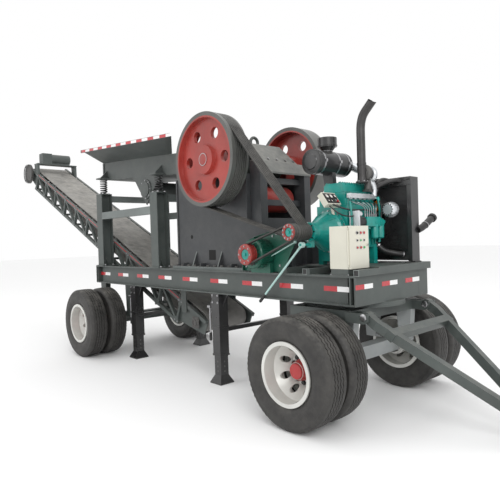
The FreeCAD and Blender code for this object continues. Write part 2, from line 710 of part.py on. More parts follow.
def stand_post(x_mid, top, side):
    """An H-section post with its flanges facing outwards and inwards."""
    half = POST_SIZE / 2
    outer = side * post_outer_y
    inner = side * post_inner_y
    flange_out = box(x_mid - half, x_mid + half, outer, outer - side * POST_FLANGE_T, BEAM_TOP, top)
    flange_in = box(x_mid - half, x_mid + half, inner, inner + side * POST_FLANGE_T, BEAM_TOP, top)
    web = box(x_mid - POST_FLANGE_T / 2, x_mid + POST_FLANGE_T / 2, inner, outer, BEAM_TOP, top)
    cap = box(x_mid - half, x_mid + half, outer, inner, top - POST_FLANGE_T, top)
    return fuse([flange_out, flange_in, web, cap])


def stand_parts():
    posts = []
    rails = []
    for side in (NEAR, FAR):
        posts.append(stand_post(REAR_POST_X, REAR_POST_TOP, side))
        posts.append(stand_post(FRONT_POST_X, FRONT_POST_TOP, side))
        outer = side * post_outer_y
        rails.append(box(REAR_POST_X + POST_SIZE / 2, FRONT_POST_X - POST_SIZE / 2, outer,
                         outer - side * STAND_RAIL_T, STAND_RAIL_LOW, STAND_RAIL_HIGH))
    for x, top in ((REAR_POST_X, REAR_POST_TOP), (FRONT_POST_X, FRONT_POST_TOP)):
        rails.append(box(x - 50.0, x + 50.0, -post_inner_y, post_inner_y, top - 130.0, top - 30.0))
    keep("stand_posts", posts)
    keep("stand_rails", rails)


# ---- feeder and hopper -----------------------------------------------------------------------------------------------
def floor_z(x):
    """The trough's underside at a place along its length."""
    return TROUGH_FLOOR_REAR_Z - (x - TROUGH_REAR) * math.tan(fall)


def trough():
    """The feeder's open-topped trough with a rear wall, open towards the crusher."""
    wall = TROUGH_HALF_WIDTH
    outline = [(TROUGH_REAR, floor_z(TROUGH_REAR)), (TROUGH_FRONT, floor_z(TROUGH_FRONT)),
               (TROUGH_FRONT, floor_z(TROUGH_FRONT) + TROUGH_DEPTH),
               (TROUGH_REAR, floor_z(TROUGH_REAR) + TROUGH_DEPTH)]
    sides = [plate_xz(outline, side * wall, side * (wall - TROUGH_PLATE)) for side in (NEAR, FAR)]
    floor_outline = [(TROUGH_REAR, floor_z(TROUGH_REAR)), (TROUGH_FRONT, floor_z(TROUGH_FRONT)),
                     (TROUGH_FRONT, floor_z(TROUGH_FRONT) + TROUGH_PLATE),
                     (TROUGH_REAR, floor_z(TROUGH_REAR) + TROUGH_PLATE)]
    floor = plate_xz(floor_outline, -wall, wall)
    back = box(TROUGH_REAR, TROUGH_REAR + TROUGH_PLATE, -wall, wall, floor_z(TROUGH_REAR),
               floor_z(TROUGH_REAR) + TROUGH_DEPTH)
    brackets = []
    for x_mid in (REAR_POST_X, FRONT_POST_X):
        z = floor_z(x_mid)
        for side in (NEAR, FAR):
            brackets.append(box(x_mid - 85.0, x_mid + 85.0, side * (wall - 1.0), side * post_outer_y,
                                z, z + SPRING_BRACKET_T))
            rib = [(wall - 1.0, z), (post_outer_y - 10.0, z), (wall - 1.0, z + 150.0)]
            rib = [(side * y, rz) for y, rz in rib]
            brackets.append(plate_yz(rib, x_mid - 8.0, x_mid + 8.0))
    return fuse(sides + [floor, back] + brackets)


def rim_z(x):
    return floor_z(x) + TROUGH_DEPTH + HOPPER_RIM_RISE


def hopper():
    """The flared hopper on the trough: two sloping sides, a rear wall and a folded rim."""
    wall = TROUGH_HALF_WIDTH
    t = HOPPER_PLATE
    pieces = []
    for side in (NEAR, FAR):
        sections = []
        for x, top_x in ((TROUGH_REAR, TROUGH_REAR), (TROUGH_FRONT - 220.0, HOPPER_FRONT)):
            low = floor_z(x) + TROUGH_DEPTH
            high = rim_z(top_x)
            sections.append([V(x, side * wall, low), V(x, side * (wall - t), low),
                             V(top_x, side * (HOPPER_RIM_Y - t), high), V(top_x, side * HOPPER_RIM_Y, high - 1.0)])
        wires = [Part.makePolygon(section + section[:1]) for section in sections]
        pieces.append(Part.makeLoft(wires, True, True))
        outline = [(TROUGH_REAR, rim_z(TROUGH_REAR) - HOPPER_RIM_LIP), (TROUGH_REAR, rim_z(TROUGH_REAR)),
                   (HOPPER_FRONT, rim_z(HOPPER_FRONT)), (HOPPER_FRONT, rim_z(HOPPER_FRONT) - HOPPER_RIM_LIP)]
        pieces.append(plate_xz(outline, side * HOPPER_RIM_Y, side * (HOPPER_RIM_Y - t)))
    low = floor_z(TROUGH_REAR) + TROUGH_DEPTH
    high = rim_z(TROUGH_REAR)
    back = [(-wall, low), (wall, low), (HOPPER_RIM_Y, high), (-HOPPER_RIM_Y, high)]
    pieces.append(plate_yz(back, TROUGH_REAR, TROUGH_REAR + t))
    return fuse(pieces)


def exciter():
    """The exciter's two hanging side plates with the drum and the shaft housing between."""
    mid = (EXCITER_FRONT + EXCITER_REAR) / 2
    wall = TROUGH_HALF_WIDTH - EXCITER_INSET
    pieces = []
    for side in (NEAR, FAR):
        outline = [(EXCITER_REAR, floor_z(EXCITER_REAR) - EXCITER_SEAT_GAP),
                   (mid, floor_z(mid) - EXCITER_DROP),
                   (EXCITER_FRONT, floor_z(EXCITER_FRONT) - EXCITER_SEAT_GAP)]
        pieces.append(plate_xz(outline, side * wall, side * (wall - EXCITER_PLATE)))
    drum_z = floor_z(mid) - EXCITER_DRUM_DROP
    pieces.append(rod((mid, -wall, drum_z), (mid, wall, drum_z), EXCITER_DRUM_D))
    return fuse(pieces)


def springs():
    """Closed-up spring stacks between the posts and the trough's brackets."""
    stacks = []
    for x_mid, top in ((REAR_POST_X, REAR_POST_TOP), (FRONT_POST_X, FRONT_POST_TOP)):
        for side in (NEAR, FAR):
            y = side * (post_outer_y + post_inner_y) / 2
            stacks.append(rod((x_mid, y, top), (x_mid, y, floor_z(x_mid)), SPRING_D))
    return stacks


def feeder_parts():
    keep("feeder_trough", [trough()])
    keep("feed_hopper", [hopper()])
    keep("feeder_exciter", [exciter()])
    keep("feeder_springs", springs())


# ---- crusher --------------------------------------------------------------------------------------------------------
wall_in = CRUSHER_HALF_WIDTH - CRUSHER_WALL
fixed_jaw_back = CRUSHER_FRONT + FRONT_WALL_T
fixed_jaw_face = fixed_jaw_back + FIXED_JAW_T
swing_top_x = fixed_jaw_face + JAW_GAPE
swing_low_x = fixed_jaw_face + JAW_SETTING


def crusher_wall(side):
    """One side wall of the crusher with its edge flanges and foot ribs."""
    outer = side * CRUSHER_HALF_WIDTH
    inner = side * wall_in
    outline = [(CRUSHER_FRONT, CRUSHER_BASE_Z), (CRUSHER_FRONT, CRUSHER_FRONT_TOP),
               (SHAFT_X - 330.0, CRUSHER_FRONT_TOP), (SHAFT_X - 230.0, CRUSHER_SEAT_Z),
               (REAR_POST_FRONT_X, CRUSHER_SEAT_Z), (REAR_POST_FRONT_X, CRUSHER_SHOULDER_Z),
               (CRUSHER_TAIL_X, CRUSHER_TAIL_Z), (CRUSHER_TAIL_X, CRUSHER_BASE_Z)]
    wall = plate_xz(outline, outer, inner)
    base = box(CRUSHER_FRONT, CRUSHER_TAIL_X, outer, inner, BEAM_TOP, CRUSHER_BASE_Z)
    flange = box(CRUSHER_FRONT, REAR_POST_BACK_X, outer + side * CRUSHER_FLANGE, inner, BEAM_TOP,
                 CRUSHER_BASE_Z)
    ribs = []
    for x in CRUSHER_RIB_X:
        outline = [(outer, CRUSHER_BASE_Z), (outer + side * 75.0, CRUSHER_BASE_Z),
                   (outer, CRUSHER_BASE_Z + 190.0)]
        ribs.append(plate_yz(outline, x - 9.0, x + 9.0))
    return fuse([wall, base, flange] + ribs)


def crusher_parts():
    keep("crusher_walls", [crusher_wall(NEAR), crusher_wall(FAR)])
    keep("crusher_front_wall", [box(CRUSHER_FRONT, fixed_jaw_back, -wall_in, wall_in,
                                    JAW_BOTTOM_Z - 130.0, CRUSHER_FRONT_TOP - 20.0)])
    rear_posts = []
    for side in (NEAR, FAR):
        y0 = side * wall_in
        y1 = side * (wall_in - 110.0)
        outline = [(REAR_POST_FRONT_X + 4.0, CRUSHER_BASE_Z), (REAR_POST_FRONT_X + 4.0, REAR_POST_HEIGHT),
                   (REAR_POST_FRONT_X + 60.0, REAR_POST_HEIGHT),
                   (REAR_POST_BACK_X, REAR_POST_HEIGHT - 150.0), (REAR_POST_BACK_X, CRUSHER_BASE_Z)]
        rear_posts.append(plate_xz(outline, y0, y1))
    front = REAR_POST_FRONT_X + 4.0
    bars = [box(front, front + 90.0, -wall_in + 5.0, wall_in - 5.0, z, z + 70.0)
            for z in (2165.0, 2430.0)]
    block = box(front, front + 120.0, -wall_in + 5.0, wall_in - 5.0, CRUSHER_BASE_Z, TOGGLE_Z + 110.0)
    keep("crusher_rear_frame", [fuse(rear_posts + bars + [block])])
    keep("jaw_wear_parts", jaw_liners() + [toggle().cut(pitman())])
    keep("pitman", [pitman()])
    keep("crusher_cover", [crusher_cover()])
    keep("bearing_housings", [bearing_housing(NEAR), bearing_housing(FAR)])


def jaw_liners():
    """The toothed fixed jaw and the two smooth cheek plates."""
    pitch = 2 * JAW_HALF_WIDTH / JAW_TEETH
    outline = [(fixed_jaw_back, -JAW_HALF_WIDTH), (fixed_jaw_face - JAW_TOOTH, -JAW_HALF_WIDTH)]
    for index in range(JAW_TEETH):
        y = -JAW_HALF_WIDTH + index * pitch
        outline += [(fixed_jaw_face, y + pitch * 0.5), (fixed_jaw_face - JAW_TOOTH, y + pitch)]
    outline.append((fixed_jaw_back, JAW_HALF_WIDTH))
    jaw = plate_xy(outline, JAW_BOTTOM_Z - 60.0, JAW_TOP_Z)
    cheeks = []
    for side in (NEAR, FAR):
        shape = [(fixed_jaw_back + 2.0, JAW_BOTTOM_Z - 60.0), (fixed_jaw_back + 2.0, JAW_TOP_Z),
                 (swing_top_x - 10.0, JAW_TOP_Z), (swing_low_x + 90.0, JAW_BOTTOM_Z - 60.0)]
        outer = side * wall_in
        cheeks.append(plate_xz(shape, outer, outer - side * CHEEK_T))
    return [jaw] + cheeks


def pitman():
    """The swing jaw: a bearing head on the eccentric shaft, a body and a toothed face."""
    half = JAW_HALF_WIDTH - 2.0
    head = rod((SHAFT_X, -half, SHAFT_Z), (SHAFT_X, half, SHAFT_Z), PITMAN_HEAD_D)
    outline = [(swing_top_x + 70.0, JAW_TOP_Z + 60.0), (swing_low_x + 70.0, JAW_BOTTOM_Z - 50.0),
               (swing_low_x + 240.0, JAW_BOTTOM_Z - 50.0), (SHAFT_X + 30.0, SHAFT_Z - 190.0),
               (SHAFT_X - 20.0, SHAFT_Z + 200.0), (SHAFT_X - 120.0, SHAFT_Z + 160.0)]
    body = plate_xz(outline, -half, half)
    face = [(swing_top_x, JAW_TOP_Z), (swing_low_x, JAW_BOTTOM_Z), (swing_low_x + 72.0, JAW_BOTTOM_Z),
            (swing_top_x + 72.0, JAW_TOP_Z)]
    liner = plate_xz(face, -half + 8.0, half - 8.0)
    eye_base = box(SHAFT_X - 60.0, SHAFT_X + 60.0, -30.0, 30.0, SHAFT_Z + 190.0, PITMAN_EYE_Z)
    eye_ring = Part.makeTorus(62.0, 20.0, V(SHAFT_X, 0, PITMAN_EYE_Z + 60.0), X_AXIS)
    bore = rod((SHAFT_X, -half, SHAFT_Z), (SHAFT_X, half, SHAFT_Z), SHAFT_D + 2 * PITMAN_BORE_CLEARANCE)
    return fuse([head, body, liner, eye_base, eye_ring]).cut(bore)


def toggle():
    """The toggle plate between the pitman's toe and the rear block."""
    back = REAR_POST_FRONT_X + 4.0
    front_x = swing_low_x + 260.0
    front_z = JAW_BOTTOM_Z + 60.0
    outline = [(front_x, front_z - 28.0), (back, TOGGLE_Z - 28.0), (back, TOGGLE_Z + 28.0),
               (front_x, front_z + 28.0)]
    return plate_xz(outline, -JAW_HALF_WIDTH + 60.0, JAW_HALF_WIDTH - 60.0)


def bearing_housing(side):
    """A split bearing housing on the side wall's seat."""
    y0 = side * BEARING_INNER_Y
    y1 = side * BEARING_OUTER_Y
    ring = rod((SHAFT_X, y0, SHAFT_Z), (SHAFT_X, y1, SHAFT_Z), BEARING_D)
    foot = box(SHAFT_X - 220.0, SHAFT_X + 220.0, y0, y1, CRUSHER_SEAT_Z, SHAFT_Z - 60.0)
    bore = SHAFT_D + 2 * PITMAN_BORE_CLEARANCE
    return fuse([ring, foot]).cut(rod((SHAFT_X, y0, SHAFT_Z), (SHAFT_X, y1, SHAFT_Z), bore))


def crusher_cover():
    """The sloping guard sheet behind the pitman's head, on the rear posts."""
    top_x = SHAFT_X + COVER_TOP_OUT
    low_x = REAR_POST_BACK_X
    sheet = [(top_x, COVER_TOP_Z), (REAR_POST_FRONT_X + 60.0, REAR_POST_HEIGHT),
             (REAR_POST_FRONT_X + 60.0, REAR_POST_HEIGHT + 12.0), (top_x, COVER_TOP_Z + 12.0)]
    lip = [(REAR_POST_FRONT_X + 4.0, REAR_POST_HEIGHT), (REAR_POST_FRONT_X + 60.0, REAR_POST_HEIGHT),
           (low_x, REAR_POST_HEIGHT - 150.0), (low_x + 14.0, REAR_POST_HEIGHT - 150.0),
           (low_x + 14.0, REAR_POST_HEIGHT - 130.0), (REAR_POST_FRONT_X + 64.0, REAR_POST_HEIGHT + 12.0),
           (REAR_POST_FRONT_X + 4.0, REAR_POST_HEIGHT + 12.0)]
    half = BEARING_INNER_Y - 15.0
    return fuse([plate_xz(sheet, -half, half), plate_xz(lip, -wall_in, wall_in)])


# ---- flywheels --------------------------------------------------------------------------------------------------------
def belt_lines(first_y, count):
    """The Y positions of a set of belts about a middle line."""
    return [first_y + (index - (count - 1) / 2) * BELT_PITCH for index in range(count)]


def belt_grooves(x, z, radius, lines):
    """Rings to cut from a pulley so that each belt lies in its groove."""
    rings = []
    deep = radius - BELT_T - BELT_SEAT_GAP
    half = BELT_W / 2 + BELT_SIDE_GAP
    for y in lines:
        rings.append(turned_y([(deep, y - half), (radius + 5.0, y - half), (radius + 5.0, y + half),
                               (deep, y + half)], x, z))
    return rings


def flywheel(side, grooved):
    """A flywheel with a heavy rim, a recessed web with round holes and a boss."""
    radius = FLYWHEEL_D / 2
    inner = FLYWHEEL_INNER_Y
    outer = FLYWHEEL_OUTER_Y
    web_out = outer - FLYWHEEL_WEB_RECESS
    web_in = web_out - FLYWHEEL_WEB_T
    rim_in = radius - FLYWHEEL_RIM_T
    boss = FLYWHEEL_BOSS_D / 2
    shaft = SHAFT_D / 2 + PITMAN_BORE_CLEARANCE
    profile = [(shaft, inner - 20.0), (boss, inner - 20.0), (boss, web_in), (rim_in, web_in),
               (rim_in, inner), (radius, inner), (radius, outer), (rim_in, outer),
               (rim_in - 10.0, web_out), (boss + 12.0, web_out), (boss, outer - 14.0), (shaft, outer - 14.0)]
    wheel = turned_y([(r, side * y) for r, y in profile], SHAFT_X, SHAFT_Z)
    for index in range(FLYWHEEL_HOLES):
        angle = 2 * math.pi * (index + 1.0) / FLYWHEEL_HOLES
        hole_x = SHAFT_X + FLYWHEEL_HOLE_PCD / 2 * math.cos(angle)
        hole_z = SHAFT_Z + FLYWHEEL_HOLE_PCD / 2 * math.sin(angle)
        wheel = wheel.cut(rod((hole_x, side * inner, hole_z), (hole_x, side * outer, hole_z),
                              FLYWHEEL_HOLE_D))
    if grooved:
        for ring in belt_grooves(SHAFT_X, SHAFT_Z, radius, belt_lines(MAIN_BELT_Y, MAIN_BELTS)):
            wheel = wheel.cut(ring)
    return wheel


def flywheel_parts():
    keep("flywheel_near", [flywheel(NEAR, True)])
    keep("flywheel_far", [flywheel(FAR, False)])
    end = FLYWHEEL_OUTER_Y - 6.0
    keep("eccentric_shaft", [rod((SHAFT_X, -end, SHAFT_Z), (SHAFT_X, end, SHAFT_Z), SHAFT_D)])


# ---- belts and pulleys -------------------------------------------------------------------------------------------------
def pto_pulley():
    """The clutch shaft's pulley, grooved for the crusher's and the generator's belts."""
    radius = PTO_D / 2
    disc = rod((PTO_X, PTO_OUTER_Y, PTO_Z), (PTO_X, PTO_INNER_Y, PTO_Z), PTO_D)
    disc = disc.cut(rod((PTO_X, PTO_OUTER_Y, PTO_Z), (PTO_X, PTO_OUTER_Y + 30.0, PTO_Z), PTO_D * 0.5))
    lines = belt_lines(MAIN_BELT_Y, MAIN_BELTS) + belt_lines(GEN_BELT_Y, GEN_BELTS)
    for ring in belt_grooves(PTO_X, PTO_Z, radius, lines):
        disc = disc.cut(ring)
    shaft = rod((PTO_X, PTO_INNER_Y, PTO_Z), (PTO_X, PTO_HOUSING_Y + 40.0, PTO_Z), PTO_SHAFT_D)
    return fuse([disc, shaft])


def generator_pulley():
    """The generator's grooved pulley on its shaft end."""
    radius = GEN_PULLEY_D / 2
    start = GEN_BELT_Y - GEN_PULLEY_W / 2
    end = GEN_BELT_Y + GEN_PULLEY_W / 2
    disc = rod((GEN_X, start, GEN_Z), (GEN_X, end, GEN_Z), GEN_PULLEY_D)
    for ring in belt_grooves(GEN_X, GEN_Z, radius, belt_lines(GEN_BELT_Y, GEN_BELTS)):
        disc = disc.cut(ring)
    shaft = rod((GEN_X, end, GEN_Z), (GEN_X, GEN_BODY_REAR_Y + 40.0, GEN_Z), GEN_SHAFT_D)
    return fuse([disc, shaft])


def belt_loop(a, radius_a, b, radius_b, y_mid):
    """An open belt around two pulleys: two straight runs and two arcs."""
    run = math.hypot(b[0] - a[0], b[1] - a[1])
    direction = math.atan2(b[1] - a[1], b[0] - a[0])
    lean = math.acos((radius_a - radius_b) / run)
    wires = []
    for grow in (BELT_T, 0.0):
        ra = radius_a - BELT_T + grow
        rb = radius_b - BELT_T + grow
        points = {}
        for name, centre, radius in (("a", a, ra), ("b", b, rb)):
            for sign in (1, -1):
                angle = direction + sign * lean
                points[name, sign] = V(centre[0] + radius * math.cos(angle), y_mid - BELT_W / 2,
                                       centre[1] + radius * math.sin(angle))
        far_a = V(a[0] - ra * math.cos(direction), y_mid - BELT_W / 2, a[1] - ra * math.sin(direction))
        far_b = V(b[0] + rb * math.cos(direction), y_mid - BELT_W / 2, b[1] + rb * math.sin(direction))
        edges = [Part.LineSegment(points["a", 1], points["b", 1]).toShape(),
                 Part.Arc(points["b", 1], far_b, points["b", -1]).toShape(),
                 Part.LineSegment(points["b", -1], points["a", -1]).toShape(),
                 Part.Arc(points["a", -1], far_a, points["a", 1]).toShape()]
        wires.append(Part.Wire(edges))
    outer = Part.Face(wires[0]).extrude(V(0, BELT_W, 0))
    inner = Part.Face(wires[1]).extrude(V(0, BELT_W, 0))
    return outer.cut(inner)


def belt_parts():
    pto = (PTO_X, PTO_Z)
    belts = [belt_loop((SHAFT_X, SHAFT_Z), FLYWHEEL_D / 2, pto, PTO_D / 2, y)
             for y in belt_lines(MAIN_BELT_Y, MAIN_BELTS)]
    belts += [belt_loop((GEN_X, GEN_Z), GEN_PULLEY_D / 2, pto, PTO_D / 2, y)
              for y in belt_lines(GEN_BELT_Y, GEN_BELTS)]
    keep("drive_belts", belts)
    keep("pto_pulley", [pto_pulley()])
    keep("generator_pulley", [generator_pulley()])
    outline = [(GEN_X - 330.0, GUARD_LOW_Z), (GEN_X - 330.0, GEN_Z + 10.0), (GEN_X - 120.0, GEN_Z + 190.0),
               (PTO_X - 420.0, PTO_Z + 40.0), (PTO_X - 170.0, PTO_Z + 60.0), (PTO_X - 130.0, PTO_Z - 40.0),
               (PTO_X - 365.0, GUARD_LOW_Z)]
    guard = plate_xz(outline, GUARD_Y, GUARD_Y + GUARD_T)
    feet = [box(x, x + 60.0, GUARD_Y, GUARD_Y + 45.0, BEAM_TOP, GUARD_LOW_Z + 8.0)
            for x in (GEN_X - 190.0, PTO_X - 430.0)]
    hole = rod((GEN_X, GUARD_Y - 5.0, GEN_Z), (GEN_X, GUARD_Y + 10.0, GEN_Z), GEN_BODY_D + 12.0)
    keep("belt_guard", [fuse([guard] + feet).cut(hole)])


# ---- engine and its neighbours ----------------------------------------------------------------------------------------
base_top = BEAM_TOP + BASE_TUBE + BASE_PLATE_T
fan_bore_depth = 30.0


def engine_base():
    """Square cross tubes under a plate, and the small stand of the control box."""
    tubes = [box(x, x + BASE_TUBE, -BEAM_HALF_WIDTH + 4.0, BEAM_HALF_WIDTH - 4.0, BEAM_TOP,
                 BEAM_TOP + BASE_TUBE)
             for x in (BASE_REAR, ENGINE_X - 30.0, BASE_FRONT - BASE_TUBE)]
    deck = box(BASE_REAR, BASE_FRONT, BOX_NEAR_Y + BOX_WIDTH + 15.0, BEAM_HALF_WIDTH - 4.0,
               BEAM_TOP + BASE_TUBE, base_top)
    stand = box(BOX_X + 5.0, BOX_X + BOX_DEPTH - 5.0, BOX_NEAR_Y + 5.0, BOX_NEAR_Y + BOX_WIDTH - 5.0,
                BEAM_TOP, BOX_Z)
    return fuse(tubes + [deck, stand])


def engine_block():
    """The crankcase with its sump, head, valve cover and feet."""
    x0 = ENGINE_X - ENGINE_HALF_WIDTH
    x1 = ENGINE_X + ENGINE_HALF_WIDTH
    y0 = ENGINE_REAR_Y
    y1 = ENGINE_FRONT_Y
    pan = box(x0 + 70.0, x1 - 70.0, y0 + 20.0, y1 - 30.0, ENGINE_PAN_Z, ENGINE_PAN_Z + 160.0)
    case = box(x0 + 30.0, x1 - 30.0, y0, y1, ENGINE_PAN_Z + 140.0, ENGINE_HEAD_Z)
    galleries = box(x0, x1, y0 + 40.0, y1 - 60.0, ENGINE_HEAD_Z - 260.0, ENGINE_HEAD_Z - 90.0)
    head = box(x0 + 60.0, x1 - 60.0, y0 + 10.0, y1 - 10.0, ENGINE_HEAD_Z - 1.0, ENGINE_TOP_Z)
    cover = box(x0 + 110.0, x1 - 110.0, y0 + 30.0, y1 - 30.0, ENGINE_TOP_Z - 1.0, VALVE_COVER_TOP)
    feet = [box(x, x + 60.0, y, y + 70.0, base_top, ENGINE_PAN_Z + 170.0)
            for x in (x0 + 10.0, x1 - 70.0) for y in (y0 + 30.0, y1 - 100.0)]
    body = fuse([pan, case, galleries, head, cover] + feet)
    bore = FAN_SHAFT_D + 2 * HUB_BORE_CLEARANCE
    return body.cut(rod((ENGINE_X, y1 - fan_bore_depth, FAN_Z), (ENGINE_X, y1, FAN_Z), bore))


def bell_housing():
    """The bell-shaped clutch housing between the crankcase and the pulley's shaft."""
    shaft = PTO_SHAFT_D / 2 + HUB_BORE_CLEARANCE
    neck = BELL_NECK_D / 2
    profile = [(0.0, ENGINE_REAR_Y), (BELL_D / 2, ENGINE_REAR_Y), (BELL_D / 2, ENGINE_REAR_Y - 70.0),
               (BELL_D / 2 - 24.0, ENGINE_REAR_Y - 95.0), (neck + 20.0, BELL_NECK_Y + 50.0),
               (neck, BELL_NECK_Y), (neck, PTO_HOUSING_Y), (shaft, PTO_HOUSING_Y),
               (shaft, PTO_HOUSING_Y + 45.0), (0.0, PTO_HOUSING_Y + 45.0)]
    housing = turned_y(profile, PTO_X, PTO_Z)
    lug = box(LEVER_X - 30.0, LEVER_X + 30.0, BELL_NECK_Y - 70.0, BELL_NECK_Y - 20.0, LEVER_Z - 28.0,
              PTO_Z - neck + 12.0)
    pin = rod((LEVER_X, BELL_NECK_Y - 70.0, LEVER_Z), (LEVER_X, LEVER_Y - 26.0, LEVER_Z), LEVER_PIN_D)
    return fuse([housing, lug, pin])


def radiator():
    """The radiator's core and tanks in a post frame, with the fan's shroud ring."""
    y0 = RADIATOR_Y
    y1 = RADIATOR_Y + RADIATOR_T
    core = box(RADIATOR_LEFT_X + RADIATOR_POST, RADIATOR_RIGHT_X - RADIATOR_POST, y0 + 30.0, y1 - 30.0,
               base_top + 60.0, RADIATOR_TOP - 30.0)
    top_tank = box(RADIATOR_LEFT_X, RADIATOR_RIGHT_X, y0, y1, RADIATOR_TOP - 90.0, RADIATOR_TOP)
    low_tank = box(RADIATOR_LEFT_X, RADIATOR_RIGHT_X, y0, y1, base_top + 20.0, base_top + 110.0)
    posts = [box(x, x + RADIATOR_POST, y0, y1, base_top, RADIATOR_TOP)
             for x in (RADIATOR_LEFT_X, RADIATOR_RIGHT_X - RADIATOR_POST)]
    shroud = tube((ENGINE_X, FAN_Y - 20.0, FAN_Z), (ENGINE_X, y0 + 31.0, FAN_Z), FAN_D + 60.0, FAN_D + 36.0)
    return fuse([core, top_tank, low_tank] + posts + [shroud])


def fan():
    """A seven-bladed fan on a short shaft."""
    hub = rod((ENGINE_X, FAN_Y - 12.0, FAN_Z), (ENGINE_X, FAN_Y + 34.0, FAN_Z), 130.0)
    shaft = rod((ENGINE_X, ENGINE_FRONT_Y - fan_bore_depth + 5.0, FAN_Z), (ENGINE_X, FAN_Y, FAN_Z),
                FAN_SHAFT_D)
    pieces = [hub, shaft]
    for index in range(FAN_BLADES):
        blade = box(ENGINE_X - 45.0, ENGINE_X + 45.0, FAN_Y + 8.0, FAN_Y + 14.0, FAN_Z + 50.0,
                    FAN_Z + FAN_D / 2)
        blade.rotate(V(ENGINE_X, FAN_Y + 11.0, FAN_Z), Z_AXIS, 24.0)
        blade.rotate(V(ENGINE_X, FAN_Y, FAN_Z), Y_AXIS, 360.0 * index / FAN_BLADES)
        pieces.append(blade)
    return fuse(pieces)


def air_filter():
    """The filter canister on its bracket, with the pre-cleaner on top."""
    canister = rod((FILTER_X, FILTER_REAR_Y, FILTER_Z), (FILTER_X, FILTER_FRONT_Y, FILTER_Z), FILTER_D)
    neck_y = (FILTER_REAR_Y + FILTER_FRONT_Y) / 2
    neck = rod((FILTER_X, neck_y, FILTER_Z), (FILTER_X, neck_y, PRECLEANER_TOP - 90.0), 90.0)
    cap = rod((FILTER_X, neck_y, PRECLEANER_TOP - 100.0), (FILTER_X, neck_y, PRECLEANER_TOP), PRECLEANER_D)
    outline = [(ENGINE_X - 165.0, ENGINE_TOP_Z), (ENGINE_X - 60.0, ENGINE_TOP_Z),
               (FILTER_X + 80.0, FILTER_Z - 90.0), (FILTER_X - 60.0, FILTER_Z - 90.0)]
    bracket = plate_xz(outline, neck_y - 30.0, neck_y + 30.0)
    cover = box(ENGINE_X - 121.0, ENGINE_X + 121.0, ENGINE_REAR_Y, ENGINE_FRONT_Y, 0.0, VALVE_COVER_TOP + 0.5)
    return fuse([canister, neck, cap, bracket.cut(cover)])


def turbocharger():
    """The turbocharger on the head, with the intake duct from the filter."""
    centre = V(TURBO_X, TURBO_Y, TURBO_Z)
    housing = Part.makeTorus(62.0, 42.0, centre, Y_AXIS)
    core = rod((TURBO_X, TURBO_Y - 70.0, TURBO_Z), (TURBO_X, TURBO_Y + 70.0, TURBO_Z), 130.0)
    foot = box(TURBO_X - 50.0, TURBO_X + 50.0, TURBO_Y - 50.0, TURBO_Y + 50.0, ENGINE_TOP_Z, TURBO_Z)
    duct = rod((TURBO_X, TURBO_Y + 60.0, TURBO_Z), (FILTER_X, FILTER_FRONT_Y + 45.0, FILTER_Z), 100.0)
    bend = rod((FILTER_X, FILTER_FRONT_Y, FILTER_Z), (FILTER_X, FILTER_FRONT_Y + 60.0, FILTER_Z), 120.0)
    cover = box(ENGINE_X - 121.0, ENGINE_X + 121.0, ENGINE_REAR_Y, ENGINE_FRONT_Y, 0.0, VALVE_COVER_TOP + 0.5)
    return fuse([housing, core, foot.cut(cover), duct, bend])


def exhaust():
    """The upright exhaust with a flange foot and an outlet bent over at the top."""
    foot_z = VALVE_COVER_TOP + 0.5
    rise = V(EXHAUST_X, EXHAUST_Y, EXHAUST_BEND_Z)
    tip = V(EXHAUST_X + EXHAUST_LEAN, EXHAUST_Y, EXHAUST_TIP_Z)
    solids = []
    for diameter in (EXHAUST_D, EXHAUST_D - 2 * EXHAUST_WALL):
        upright = rod((EXHAUST_X, EXHAUST_Y, foot_z + 30.0), tuple(rise), diameter)
        ball = Part.makeSphere(diameter / 2, rise)
        lean = Part.makeCylinder(diameter / 2, (tip - rise).Length, rise, tip - rise)
        solids.append(fuse([upright, ball, lean]))
    pipe = solids[0].cut(solids[1])
    elbow = rod((EXHAUST_X, EXHAUST_Y, foot_z + 60.0), (TURBO_X, TURBO_Y - 60.0, TURBO_Z), EXHAUST_D - 10.0)
    flange = rod((EXHAUST_X, EXHAUST_Y, foot_z + 20.0), (EXHAUST_X, EXHAUST_Y, foot_z + 34.0), 130.0)
    return fuse([pipe, elbow, flange])


def instrument_panel():
    """A tilted panel on a stalk from the bell housing."""
    centre = V(PANEL_X, PANEL_Y, PANEL_Z)
    board = box(PANEL_X - 30.0, PANEL_X + 30.0, PANEL_Y - 110.0, PANEL_Y + 110.0, PANEL_Z - 75.0,
                PANEL_Z + 75.0)
    board.rotate(centre, Y_AXIS, -35.0)
    foot_y = ENGINE_REAR_Y - 35.0
    stalk = rod((PANEL_X, PANEL_Y + 20.0, PANEL_Z), (PANEL_X, foot_y, PTO_Z), 30.0)
    flange = rod((PTO_X, ENGINE_REAR_Y, PTO_Z), (PTO_X, ENGINE_REAR_Y - 200.0, PTO_Z), BELL_D)
    return fuse([board, stalk]).cut(flange)


def engine_parts():
    keep("engine_base", [engine_base()])
    keep("engine_block", [engine_block()])
    keep("bell_housing", [bell_housing()])
    keep("radiator", [radiator()])
    keep("fan", [fan()])
    keep("air_filter", [air_filter()])
    keep("turbocharger", [turbocharger().cut(air_filter())])
    keep("exhaust_stack", [exhaust().cut(turbocharger())])
    keep("instrument_panel", [instrument_panel()])


